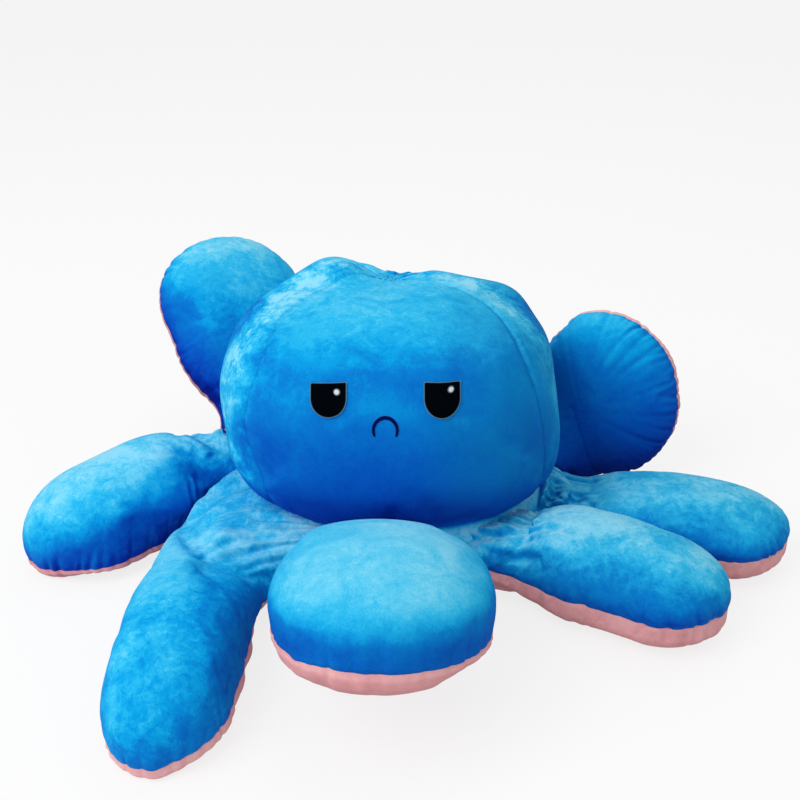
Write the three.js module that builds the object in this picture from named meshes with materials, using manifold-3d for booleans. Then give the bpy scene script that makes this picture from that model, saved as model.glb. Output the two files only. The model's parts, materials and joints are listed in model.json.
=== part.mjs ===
// A giant reversible plush octopus, blue side out, in millimetres, +Z up.
// The head is a stuffed bowl with a flip pocket under it. Eight stuffed legs are sewn
// round its foot, each turning at the gathered neck where it is sewn on.
import * as THREE from 'three';
import { mergeVertices } from 'three/addons/utils/BufferGeometryUtils.js';
import Module from 'manifold-3d';

const wasm = await Module();
wasm.setup();

// Cloth and clearances
const CLOTH = 2.5; // velvet pile and backing
const GAP = 0.35; // between two pieces that touch
const TURNING_GAP = 0.5; // round a leg's neck where it turns
const FLOOR_CUT = 0.5; // how far a lying leg is pressed flat

// Head
const HEAD_HALF_WIDTH = 206;
const HEAD_HALF_DEPTH = 180;
const HEAD_HEIGHT = 305;
const HEM_HEIGHT = 42; // where blue cloth meets pink round the foot
const HEAD_SQUARENESS = 2.4; // exponent of the rounded plan
const HEAD_COLUMNS = 24;
const DOME_ROWS = 12;
const FACE_SEAM_ANGLE = 52.5; // of the face panel's seams, from straight ahead
const HEM_SHARE = 0.82; // of the head's half width, at the hem
// Dome, from the hem up to the crown: share of the half width, share of the height
const domeShares = [
  [0.79, 0.22], [0.93, 0.37], [1, 0.573], [0.96, 0.775],
  [0.8, 0.934], [0.48, 1], [0.2, 0.977], [0, 0.944],
];
// Foot, from the pocket's mouth out to the hem: share of the half width, share of the hem's height
const footShares = [[0.72, 0], [0.79, 0.16], [0.82, 0.55]];

// Flip pocket, open underneath
const POCKET_MOUTH_SHARE = 0.5; // of the head's half width
const POCKET_HEIGHT = 190;
// Pocket wall, from the mouth up: share of the head's half width, share of the pocket's height
const pocketShares = [[0.5, 0.6], [0.4, 0.86], [0.21, 0.98], [0, 1]];

// Face, flat shapes laid on the front of the head
const EYE_WIDTH = 39;
const EYE_HEIGHT = 33;
const EYE_TOP_DROP = 32; // from the head's top to the eyes' flat top
const EYE_SPACING = 120; // centre to centre
const EYE_STRAIGHT_SHARE = 0.42; // of the eye's height, above the round end
const GLINT_RADIUS = 3.5;
const GLINT_SIDE = 9; // from the eye's centre, towards the wearer's left
const GLINT_DROP = 6.5; // below the eye's top
const MOUTH_RADIUS = 14;
const MOUTH_THREAD = 3.5;
const MOUTH_DROP = 44; // from the eyes' flat top to the middle of the mouth's arc
const MOUTH_SWEEP = 200; // degrees of arc, open at the bottom
const PATCH_THICKNESS = 1.2;
const FACE_POINTS = 12;

// Leg pattern, shared by all eight
const LEG_LENGTH = 300; // from the hinge line to the tip
const PADDLE_HALF_WIDTH = 90;
const NECK_HALF_WIDTH = 50;
const NECK_HALF_HEIGHT = 28;
const LEG_CROWN = 64; // from the seam up to the blue top
const LEG_BELLY = 38; // from the seam down to the pink underside
const HINGE_STAND_OFF = 22; // of the hinge line from the hem
const RAISED_ROOT_HEIGHT = 64; // of the hinge line of a leg held off the floor
const SWELL_SHARE = 0.5; // of the length, over which the neck swells to the paddle
const TWIST_SHARE = 0.55; // of the length, over which a twisted neck turns
const TIP_SHARE = 1.05; // of the half width, taken by the round tip
const CROWN_POWER = 0.85; // below 1 the section is fuller than an ellipse
const TIP_POWER = 2.3;
const SOCKET_SIDES = 24;
const NECK_ROWS = 3;
const LEG_ROWS = 10;
const LEG_COLUMNS = 12;

// Each leg: azimuths from straight ahead, positive towards +X, and shares of the leg pattern
const legs = [
  { name: 'front', root: -1, heading: 0, pitch: 17, bend: 0, twist: 0,
    lengthShare: 0.98, paddleShare: 1.21, neckShare: 1.12, crownShare: 1.19, bellyShare: 1.3 },
  { name: 'front_right', root: 45, heading: 73, pitch: 0, bend: -22, twist: 0,
    lengthShare: 0.88, paddleShare: 0.79, neckShare: 1, crownShare: 0.98, bellyShare: 1 },
  { name: 'right', root: 86, heading: 81, pitch: 0, bend: -20, twist: 0,
    lengthShare: 1.03, paddleShare: 0.83, neckShare: 0.92, crownShare: 0.8, bellyShare: 1 },
  { name: 'back_right', root: 132, heading: 106, pitch: 21, bend: -55, twist: 76,
    lengthShare: 0.86, paddleShare: 1.28, neckShare: 0.92, crownShare: 0.86, bellyShare: 1.1 },
  { name: 'back', root: 178, heading: 178, pitch: 0, bend: 0, twist: 0,
    lengthShare: 1, paddleShare: 1, neckShare: 1, crownShare: 1, bellyShare: 1 },
  { name: 'back_left', root: -137, heading: -137, pitch: 41, bend: 0, twist: 0,
    lengthShare: 0.97, paddleShare: 1.18, neckShare: 0.92, crownShare: 0.78, bellyShare: 1.1 },
  { name: 'left', root: -99, heading: -76, pitch: 0, bend: 48, twist: 0,
    lengthShare: 0.94, paddleShare: 0.88, neckShare: 1, crownShare: 1.1, bellyShare: 1 },
  { name: 'front_left', root: -60, heading: -21, pitch: 0, bend: 34, twist: 0,
    lengthShare: 1.21, paddleShare: 0.73, neckShare: 1, crownShare: 1.03, bellyShare: 1 },
];

const finishes = {
  blueVelvet: { color: 0x0a8fdc, roughness: 0.85, metalness: 0 },
  pinkVelvet: { color: 0xeaa5ae, roughness: 0.85, metalness: 0 },
  fibreFilling: { color: 0xf4f2ec, roughness: 1, metalness: 0 },
  blackPatch: { color: 0x0b0d14, roughness: 0.6, metalness: 0 },
  whitePatch: { color: 0xf2f5f8, roughness: 0.6, metalness: 0 },
  navyThread: { color: 0x101d4e, roughness: 0.7, metalness: 0 },
};

const radians = THREE.MathUtils.degToRad;
const smooth = (value) => THREE.MathUtils.smoothstep(value, 0, 1);

// Triangles of a grid of points, rows by columns. A closed grid joins its last column to its first.
// A flipped grid faces the other way and splits its cells along the same diagonals.
function gridTriangles(rows, closed, flipped) {
  const triangles = [];
  const columns = rows[0].length;
  const steps = closed ? columns : columns - 1;
  for (let row = 0; row + 1 < rows.length; row += 1) {
    for (let column = 0; column < steps; column += 1) {
      const next = (column + 1) % columns;
      const [a, b] = [rows[row][column], rows[row][next]];
      const [d, c] = [rows[row + 1][column], rows[row + 1][next]];
      triangles.push(...(flipped ? [[a, c, b], [a, d, c]] : [[a, b, c], [a, c, d]]));
    }
  }
  return triangles;
}

// One closed body from triangles: shared corners are merged and collapsed triangles dropped.
function bodyOf(triangles) {
  const geometry = new THREE.BufferGeometry().setFromPoints(triangles.flat());
  return solidOf(geometry);
}

function solidOf(source) {
  const geometry = source.clone();
  geometry.deleteAttribute('normal');
  geometry.deleteAttribute('uv');
  const merged = mergeVertices(geometry);
  const index = merged.index.array;
  const kept = [];
  for (let corner = 0; corner < index.length; corner += 3) {
    const [a, b, c] = index.slice(corner, corner + 3);
    if (a !== b && b !== c && c !== a) kept.push(a, b, c);
  }
  return new wasm.Manifold(new wasm.Mesh({
    numProp: 3,
    vertProperties: new Float32Array(merged.attributes.position.array),
    triVerts: new Uint32Array(kept),
  }));
}

// A closed tube of rows whose first and last rows are points.
const closedBody = (rows) => bodyOf(gridTriangles(rows, true, false));

// A sheet of cloth between an outer and an inner grid, with a rim round its edges.
function sheetBody(outer, inner, closed) {
  const rim = (a, b) => gridTriangles([a, b], closed, false);
  const triangles = [
    ...gridTriangles(outer, closed, false),
    ...gridTriangles(inner, closed, true),
    ...rim(inner[0], outer[0]),
    ...rim(outer[outer.length - 1], inner[inner.length - 1]),
  ];
  if (!closed) {
    const side = (rows, column) => rows.map((row) => row[column]);
    const last = outer[0].length - 1;
    triangles.push(
      ...gridTriangles([side(outer, 0), side(inner, 0)], false, false),
      ...gridTriangles([side(outer, last), side(inner, last)], false, true),
    );
  }
  return bodyOf(triangles);
}

function geometryOf(solid) {
  const mesh = solid.getMesh();
  const geometry = new THREE.BufferGeometry();
  const positions = [];
  for (const corner of mesh.triVerts) {
    const start = corner * mesh.numProp;
    positions.push(...mesh.vertProperties.slice(start, start + 3));
  }
  geometry.setAttribute('position', new THREE.Float32BufferAttribute(positions, 3));
  geometry.computeVertexNormals();
  return geometry;
}

function named(name, solid, finish) {
  const mesh = new THREE.Mesh(geometryOf(solid), new THREE.MeshStandardMaterial(finishes[finish]));
  mesh.name = name;
  return mesh;
}

// Unit step on the head's rounded plan at an angle from +X
function planShare(angle) {
  const cosine = Math.cos(angle);
  const sine = Math.sin(angle);
  const sum = Math.abs(cosine) ** HEAD_SQUARENESS + Math.abs(sine) ** HEAD_SQUARENESS;
  const reach = sum ** (-1 / HEAD_SQUARENESS);
  return [reach * cosine, reach * sine];
}

const columnAngle = (column) => radians(90 - FACE_SEAM_ANGLE + (column * 360) / HEAD_COLUMNS);

// Which way the cloth's thickness goes from a profile point: square to the run of the cloth,
// and at a cut edge or on the axis straight across or straight down.
function inward(profile, index) {
  const before = profile[Math.max(index - 1, 0)];
  const after = profile[Math.min(index + 1, profile.length - 1)];
  const run = new THREE.Vector2(after.x - before.x, after.z - before.z).normalize();
  const normal = new THREE.Vector2(-run.y, run.x);
  if (index > 0 && index < profile.length - 1) return normal;
  const steep = Math.abs(run.y) > Math.abs(run.x);
  return steep ? new THREE.Vector2(Math.sign(normal.x), 0) : new THREE.Vector2(0, Math.sign(normal.y));
}

// Rows round the head's axis at a depth inside a profile of half sizes x and y and heights z
function headRows(profile, depth, from, to) {
  return profile.map((point, index) => {
    const step = inward(profile, index).multiplyScalar(depth);
    const row = [];
    for (let column = from; column <= to; column += 1) {
      const [shareX, shareY] = planShare(columnAngle(column));
      row.push(new THREE.Vector3(
        (point.x + step.x) * shareX,
        (point.y + step.x) * shareY,
        point.z + step.y,
      ));
    }
    return row;
  });
}

const allRound = (profile, depth) => headRows(profile, depth, 0, HEAD_COLUMNS - 1);

const profilePoint = (share, height) => (
  { x: HEAD_HALF_WIDTH * share, y: HEAD_HALF_DEPTH * share, z: height });

function domeProfile() {
  const points = [[HEM_SHARE, HEM_HEIGHT / HEAD_HEIGHT], ...domeShares]
    .map(([share, height]) => new THREE.Vector2(share, height));
  return new THREE.SplineCurve(points).getPoints(DOME_ROWS)
    .map((point) => profilePoint(Math.max(point.x, 0), point.y * HEAD_HEIGHT));
}

function pocketProfile() {
  return [[POCKET_MOUTH_SHARE, 0], ...pocketShares]
    .map(([share, height]) => profilePoint(share, height * POCKET_HEIGHT));
}

// The foot starts just outside the lining's edge, so both lie on the floor side by side.
function footProfile() {
  const edge = CLOTH + GAP;
  const mouth = profilePoint(POCKET_MOUTH_SHARE, 0);
  return [
    { x: mouth.x + edge, y: mouth.y + edge, z: 0 },
    ...footShares.map(([share, height]) => profilePoint(share, height * HEM_HEIGHT)),
    profilePoint(HEM_SHARE, HEM_HEIGHT),
  ];
}

// Filling between the outer cloth and the pocket's lining, one stuffed bowl
function headFilling() {
  const depth = CLOTH + GAP;
  const outside = allRound([...footProfile().slice(0, -1), ...domeProfile()], depth);
  const inside = allRound(pocketProfile(), -depth).slice(1);
  return closedBody([...inside.reverse(), ...outside]);
}

// The closed shape of the dome, a little inside or outside its cloth, to trim the face with.
function domeShape(depth) {
  const rows = allRound(domeProfile(), depth);
  const floor = rows[0].map((point) => point.clone().setZ(0));
  const centre = rows[0].map(() => new THREE.Vector3());
  return closedBody([centre, floor, ...rows]);
}

// Four dome panels, parted along the seams by moving each one out along its middle.
function domePanels() {
  const cell = 360 / HEAD_COLUMNS;
  const wide = Math.round((2 * FACE_SEAM_ANGLE) / cell);
  const narrow = HEAD_COLUMNS / 2 - wide;
  const spans = [
    { name: 'head_panel_back', cells: wide, middle: 90, half: FACE_SEAM_ANGLE },
    { name: 'head_panel_left', cells: narrow, middle: 180, half: 90 - FACE_SEAM_ANGLE },
    { name: 'head_panel_front', cells: wide, middle: 270, half: FACE_SEAM_ANGLE },
    { name: 'head_panel_right', cells: narrow, middle: 0, half: 90 - FACE_SEAM_ANGLE },
  ];
  let first = 0;
  return spans.map(({ name, cells, middle, half }) => {
    const rows = (depth) => headRows(domeProfile(), depth, first, first + cells);
    const panel = sheetBody(rows(0), rows(CLOTH), false);
    first += cells;
    const shift = GAP / 2 / Math.sin(radians(half));
    const angle = radians(middle);
    return {
      name,
      solid: panel.translate([shift * Math.cos(angle), shift * Math.sin(angle), GAP / 2]),
    };
  });
}

function footRing() {
  const profile = footProfile();
  return sheetBody(allRound(profile, 0), allRound(profile, CLOTH), true);
}

const pocketLining = () => sheetBody(
  allRound(pocketProfile(), -CLOTH), allRound(pocketProfile(), 0), true);

// A flat outline in x and z, pushed through the front of the head and trimmed to a thin patch.
function facePatch(outline, lift) {
  const shape = new THREE.Shape(outline);
  const prism = new THREE.ExtrudeGeometry(shape, { depth: HEAD_HALF_DEPTH, bevelEnabled: false });
  prism.rotateX(radians(90));
  const front = solidOf(prism);
  const outside = domeShape(-(lift + PATCH_THICKNESS));
  return front.intersect(outside).subtract(domeShape(-lift));
}

const eyeTop = HEAD_HEIGHT - EYE_TOP_DROP;

function eyeOutline(middle) {
  const half = EYE_WIDTH / 2;
  const straight = eyeTop - EYE_HEIGHT * EYE_STRAIGHT_SHARE;
  const round = EYE_HEIGHT * (1 - EYE_STRAIGHT_SHARE);
  const points = [new THREE.Vector2(middle + half, eyeTop), new THREE.Vector2(middle - half, eyeTop)];
  for (let step = 0; step <= FACE_POINTS; step += 1) {
    const angle = Math.PI * (1 + step / FACE_POINTS);
    points.push(new THREE.Vector2(middle + half * Math.cos(angle), straight + round * Math.sin(angle)));
  }
  return points;
}

function glintOutline(middle) {
  const centre = new THREE.Vector2(middle + GLINT_SIDE, eyeTop - GLINT_DROP);
  return Array.from({ length: FACE_POINTS }, (_, step) => {
    const angle = (2 * Math.PI * step) / FACE_POINTS;
    return new THREE.Vector2(Math.cos(angle), Math.sin(angle)).multiplyScalar(GLINT_RADIUS).add(centre);
  });
}

function mouthOutline() {
  const arc = (radius, backwards) => Array.from({ length: FACE_POINTS + 1 }, (_, step) => {
    const share = step / FACE_POINTS - 1 / 2;
    const angle = radians(90 + MOUTH_SWEEP * (backwards ? -share : share));
    return new THREE.Vector2(radius * Math.cos(angle), eyeTop - MOUTH_DROP + radius * Math.sin(angle));
  });
  return [...arc(MOUTH_RADIUS, false), ...arc(MOUTH_RADIUS - MOUTH_THREAD, true)];
}

function faceMeshes() {
  const half = EYE_SPACING / 2;
  const glintLift = GAP + PATCH_THICKNESS + GAP;
  return [
    named('eye_left', facePatch(eyeOutline(-half), GAP), 'blackPatch'),
    named('eye_right', facePatch(eyeOutline(half), GAP), 'blackPatch'),
    named('eye_glint_left', facePatch(glintOutline(-half), glintLift), 'whitePatch'),
    named('eye_glint_right', facePatch(glintOutline(half), glintLift), 'whitePatch'),
    named('mouth_stitching', facePatch(mouthOutline(), GAP), 'navyThread'),
  ];
}

// The sizes of one leg, from the shared pattern and its own shares
function legSizes(leg) {
  const belly = LEG_BELLY * leg.bellyShare;
  const lying = leg.pitch === 0;
  const rootX = HEAD_HALF_WIDTH * HEM_SHARE + HINGE_STAND_OFF;
  const rootY = HEAD_HALF_DEPTH * HEM_SHARE + HINGE_STAND_OFF;
  const angle = radians(leg.root - 90);
  const ray = (Math.abs(Math.cos(angle) / rootX) ** HEAD_SQUARENESS
    + Math.abs(Math.sin(angle) / rootY) ** HEAD_SQUARENESS) ** (-1 / HEAD_SQUARENESS);
  return {
    length: LEG_LENGTH * leg.lengthShare,
    paddle: PADDLE_HALF_WIDTH * leg.paddleShare,
    neck: NECK_HALF_WIDTH * leg.neckShare,
    crown: LEG_CROWN * leg.crownShare,
    belly,
    lying,
    hinge: new THREE.Vector3(
      ray * Math.cos(angle),
      ray * Math.sin(angle),
      lying ? belly - FLOOR_CUT : RAISED_ROOT_HEIGHT,
    ),
  };
}

const swellAt = (along, length) => smooth(along / (length * SWELL_SHARE));

// Half width, height above and below the seam, and place along the leg, of every row
function legStations(sizes, depth) {
  const knuckle = NECK_HALF_HEIGHT - depth;
  const stations = [];
  for (let row = 0; row < NECK_ROWS; row += 1) {
    const angle = (Math.PI / 2) * (row / NECK_ROWS);
    const rise = Math.sin(angle);
    stations.push({
      along: -knuckle * Math.cos(angle),
      half: (sizes.neck - depth) * Math.sqrt(rise),
      above: knuckle * rise,
      below: knuckle * rise,
    });
  }
  const tip = sizes.paddle * TIP_SHARE - depth;
  const length = sizes.length - depth;
  for (let row = 0; row <= LEG_ROWS; row += 1) {
    const along = length * (1 - (1 - row / LEG_ROWS) ** (3 / 2));
    const swell = swellAt(along, length);
    const past = THREE.MathUtils.clamp((along - length + tip) / tip, 0, 1);
    const end = Math.sqrt(1 - past ** TIP_POWER);
    const height = (full) => (knuckle + (full - depth - knuckle) * swell) * end ** (3 / 4);
    stations.push({
      along,
      half: THREE.MathUtils.lerp(sizes.neck, sizes.paddle, swell) * end - depth * end,
      above: height(sizes.crown),
      below: height(sizes.belly),
    });
  }
  return stations;
}

// A point of the straight leg, twisted at the neck and then bent sideways along its length
function posed(leg, sizes, along, across, up) {
  const turn = radians(leg.twist) * smooth(along / (sizes.length * TWIST_SHARE));
  const side = across * Math.cos(turn) - up * Math.sin(turn);
  const rise = across * Math.sin(turn) + up * Math.cos(turn);
  if (leg.bend === 0 || along <= 0) return new THREE.Vector3(along, side, rise);
  const radius = sizes.length / radians(leg.bend);
  const angle = along / radius;
  return new THREE.Vector3(
    (radius - side) * Math.sin(angle),
    radius - (radius - side) * Math.cos(angle),
    rise,
  );
}

// Rows of the leg's skin at a depth. Columns run from the seam over the top and back underneath.
function legRows(leg, sizes, depth, from, to, lift) {
  return legStations(sizes, depth).map((station) => {
    const row = [];
    for (let column = from; column <= to; column += 1) {
      const angle = (2 * Math.PI * column) / LEG_COLUMNS;
      const rise = Math.sin(angle);
      const height = rise >= 0 ? station.above : station.below;
      const up = Math.sign(rise) * height * Math.abs(rise) ** CROWN_POWER;
      const across = station.half * Math.cos(angle);
      row.push(posed(leg, sizes, station.along, across, up + lift));
    }
    return row;
  });
}

function legCover(leg, sizes, from, to, lift) {
  const rows = (depth) => legRows(leg, sizes, depth, from, to, lift);
  return sheetBody(rows(0), rows(CLOTH), false);
}

// What the floor takes off a lying leg
function pressedFlat(solid, sizes) {
  if (!sizes.lying) return solid;
  const side = LEG_LENGTH * 4;
  const slab = new THREE.BoxGeometry(side, side, LEG_BELLY);
  slab.translate(0, 0, -sizes.hinge.z - LEG_BELLY / 2);
  return solid.subtract(solidOf(slab));
}

function legGroup(leg) {
  const sizes = legSizes(leg);
  const half = LEG_COLUMNS / 2;
  const top = legCover(leg, sizes, 0, half, GAP / 2);
  const under = pressedFlat(legCover(leg, sizes, half, LEG_COLUMNS, -GAP / 2), sizes);
  const filling = closedBody(legRows(leg, sizes, CLOTH + GAP, 0, LEG_COLUMNS - 1, 0));
  const group = new THREE.Group();
  group.name = `leg_${leg.name}_hinge`;
  group.position.copy(sizes.hinge);
  group.rotation.set(0, radians(-leg.pitch), radians(leg.heading - 90), 'ZYX');
  group.add(
    named(`leg_${leg.name}_top_cover`, top, 'blueVelvet'),
    named(`leg_${leg.name}_under_cover`, under, 'pinkVelvet'),
    named(`leg_${leg.name}_filling`, filling, 'fibreFilling'),
  );
  return group;
}

// Sockets in the foot of the head: a drum round each leg's hinge line
function legSockets() {
  return legs.map((leg) => {
    const sizes = legSizes(leg);
    const swell = swellAt(NECK_HALF_HEIGHT, sizes.length);
    const half = THREE.MathUtils.lerp(sizes.neck, sizes.paddle, swell) + TURNING_GAP;
    const radius = (NECK_HALF_HEIGHT + TURNING_GAP) / Math.cos(Math.PI / SOCKET_SIDES);
    const drum = new THREE.CylinderGeometry(radius, radius, 2 * half, SOCKET_SIDES);
    drum.rotateZ(radians(leg.heading - 90));
    drum.translate(sizes.hinge.x, sizes.hinge.y, sizes.hinge.z);
    return solidOf(drum);
  }).reduce((all, drum) => all.add(drum));
}

// Cuts the sockets out of cloth and drops the scraps that a cut along a hem leaves.
function cutBy(solid, sockets) {
  return solid.subtract(sockets).decompose()
    .reduce((largest, piece) => (piece.volume() > largest.volume() ? piece : largest));
}

function headMeshes() {
  const sockets = legSockets();
  return [
    ...domePanels().map(({ name, solid }) => named(name, cutBy(solid, sockets), 'blueVelvet')),
    named('head_filling', cutBy(headFilling(), sockets), 'fibreFilling'),
    named('pocket_lining', pocketLining(), 'pinkVelvet'),
    named('foot_ring', cutBy(footRing(), sockets), 'pinkVelvet'),
    ...faceMeshes(),
  ];
}

// The origin is on the floor, under the middle of the toy's outline.
const octopus = new THREE.Group();
octopus.add(...headMeshes(), ...legs.map(legGroup));
const outline = new THREE.Box3().setFromObject(octopus, true);
const middle = outline.getCenter(new THREE.Vector3());
octopus.position.set(-middle.x, -middle.y, -outline.min.z);

export default octopus;
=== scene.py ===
"""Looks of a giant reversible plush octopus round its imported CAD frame.

Everything is in metres in the CAD frame: +Z up, the face looks along -Y, +X is to the viewer's right.
Azimuths are in degrees round the head's axis from straight ahead, positive towards +X.
"""
import json
import logging
import math
from dataclasses import dataclass, field
from enum import Enum

import bpy
import numpy as np
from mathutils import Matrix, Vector


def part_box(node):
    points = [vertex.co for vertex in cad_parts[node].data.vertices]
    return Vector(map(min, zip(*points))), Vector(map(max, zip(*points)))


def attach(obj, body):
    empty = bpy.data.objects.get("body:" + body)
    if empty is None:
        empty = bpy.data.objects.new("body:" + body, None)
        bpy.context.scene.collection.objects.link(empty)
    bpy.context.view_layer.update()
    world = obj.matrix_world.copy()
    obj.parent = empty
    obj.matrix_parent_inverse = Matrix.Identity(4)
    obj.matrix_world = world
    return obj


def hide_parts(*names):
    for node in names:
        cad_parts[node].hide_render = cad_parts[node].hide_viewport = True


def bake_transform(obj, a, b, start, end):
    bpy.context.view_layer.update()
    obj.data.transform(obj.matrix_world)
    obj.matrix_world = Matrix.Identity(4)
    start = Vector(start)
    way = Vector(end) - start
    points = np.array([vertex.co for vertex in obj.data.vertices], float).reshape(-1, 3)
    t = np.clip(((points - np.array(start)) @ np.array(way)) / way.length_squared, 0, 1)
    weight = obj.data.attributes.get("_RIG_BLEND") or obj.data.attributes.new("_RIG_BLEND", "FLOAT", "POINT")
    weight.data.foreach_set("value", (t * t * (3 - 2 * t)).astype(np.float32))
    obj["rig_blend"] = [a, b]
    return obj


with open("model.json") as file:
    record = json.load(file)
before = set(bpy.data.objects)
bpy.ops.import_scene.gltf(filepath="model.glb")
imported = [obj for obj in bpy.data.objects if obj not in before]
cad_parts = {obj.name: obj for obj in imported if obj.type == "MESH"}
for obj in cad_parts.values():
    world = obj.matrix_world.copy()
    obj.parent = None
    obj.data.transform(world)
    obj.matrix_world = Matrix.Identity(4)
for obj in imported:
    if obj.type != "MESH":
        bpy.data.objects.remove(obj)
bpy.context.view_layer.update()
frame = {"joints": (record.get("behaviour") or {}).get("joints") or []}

MM = 0.001
TINY = 1e-9
CLOTH_THICKNESS = 2 * MM

logging.basicConfig(level=logging.INFO, format="%(levelname)s %(message)s")
log = logging.getLogger("octopus")

Array = np.ndarray
Piece, Mesh = bpy.types.Object, bpy.types.Mesh
Pair, Triple, Colour = tuple[float, float], tuple[float, float, float], tuple[int, int, int]
Pairs = tuple[Pair, ...]
Stops = tuple[tuple[float, Colour], ...]


def smooth(value: Array | float) -> Array | float:
    """Ease from 0 to 1 by 3v squared minus 2v cubed, flat outside."""
    held = np.clip(value, 0, 1)
    return held * held * (3 - 2 * held)


def rising(value: Array, start: float, width: float) -> Array:
    """Ease from 0 at a start to 1 a width further on."""
    return smooth((value - start) / width)


def falling(value: Array, end: float, width: float) -> Array:
    """Ease from 1, a width before an end, to 0 at the end."""
    return smooth((end - value) / width)


def blend_between(first: Array, second: Array | float, share: Array) -> Array:
    """Straight mix of two arrays by a share from 0 to 1."""
    return first + (second - first) * share


def bell(value: Array, width: float | Array) -> Array:
    """Gaussian bump of height 1: e to the minus (value over width) squared."""
    return np.exp(-((value / width) ** 2))


def turn_from(azimuth: Array, middle: Array | float) -> Array:
    """Angle from one azimuth to another in degrees, whichever way round is shorter."""
    return (azimuth - middle + 180) % 360 - 180


def outward(azimuth: Array) -> Array:
    """Unit vectors in the floor plane at azimuths in degrees from straight ahead."""
    turn = np.radians(azimuth)
    return np.stack([np.sin(turn), -np.cos(turn), np.zeros_like(turn)], axis=-1)


def rotated(first: Array, second: Array, turn: Array | float) -> tuple[Array, Array]:
    """Two coordinates turned by an angle in radians, from the first towards the second."""
    return first * np.cos(turn) - second * np.sin(turn), first * np.sin(turn) + second * np.cos(turn)


def sine_steps(start: float, count: int) -> Array:
    """Ways from a start to 1, closer together towards -1 and 1: the sine of even steps."""
    return np.sin(np.linspace(start, 1, count + 1) * np.pi / 2)


def disc_of(p: Array, q: Array) -> tuple[Array, Array]:
    """Maps a square's lines to a disc: x is p times the root of 1 less q squared over 2, and y the like."""
    return p * np.sqrt(1 - q**2 / 2), q * np.sqrt(1 - p**2 / 2)


class Slot(Enum):
    """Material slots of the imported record."""

    BLUE = "blue_velvet"
    PINK = "pink_velvet"
    BLACK = "black_patch"
    WHITE = "white_patch"
    NAVY = "navy_thread"


# Shader maths


class Signal:
    """A node socket that takes part in Python arithmetic."""

    def __init__(self, paint: "Paint", socket: bpy.types.NodeSocket | None) -> None:
        """Wraps one output socket of a node tree."""
        self.paint = paint
        self.socket = socket

    def maths(self, operation: str, *operands: "Signal | float") -> "Signal":
        """A Math node on operands in the order given."""
        return self.paint.node("ShaderNodeMath", {"operation": operation}, dict(enumerate(operands)))

    def __add__(self, other: "Signal | float") -> "Signal":
        """Sum."""
        return self.maths("ADD", self, other)

    def __sub__(self, other: "Signal | float") -> "Signal":
        """Difference."""
        return self.maths("SUBTRACT", self, other)

    def __rsub__(self, other: float) -> "Signal":
        """Difference from a number."""
        return self.maths("SUBTRACT", other, self)

    def __mul__(self, other: "Signal | float") -> "Signal":
        """Product."""
        return self.maths("MULTIPLY", self, other)

    __radd__ = __add__
    __rmul__ = __mul__

    def held(self) -> "Signal":
        """The value kept between 0 and 1."""
        return self.maths("MAXIMUM", self.maths("MINIMUM", self, 1.0), 0.0)


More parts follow.
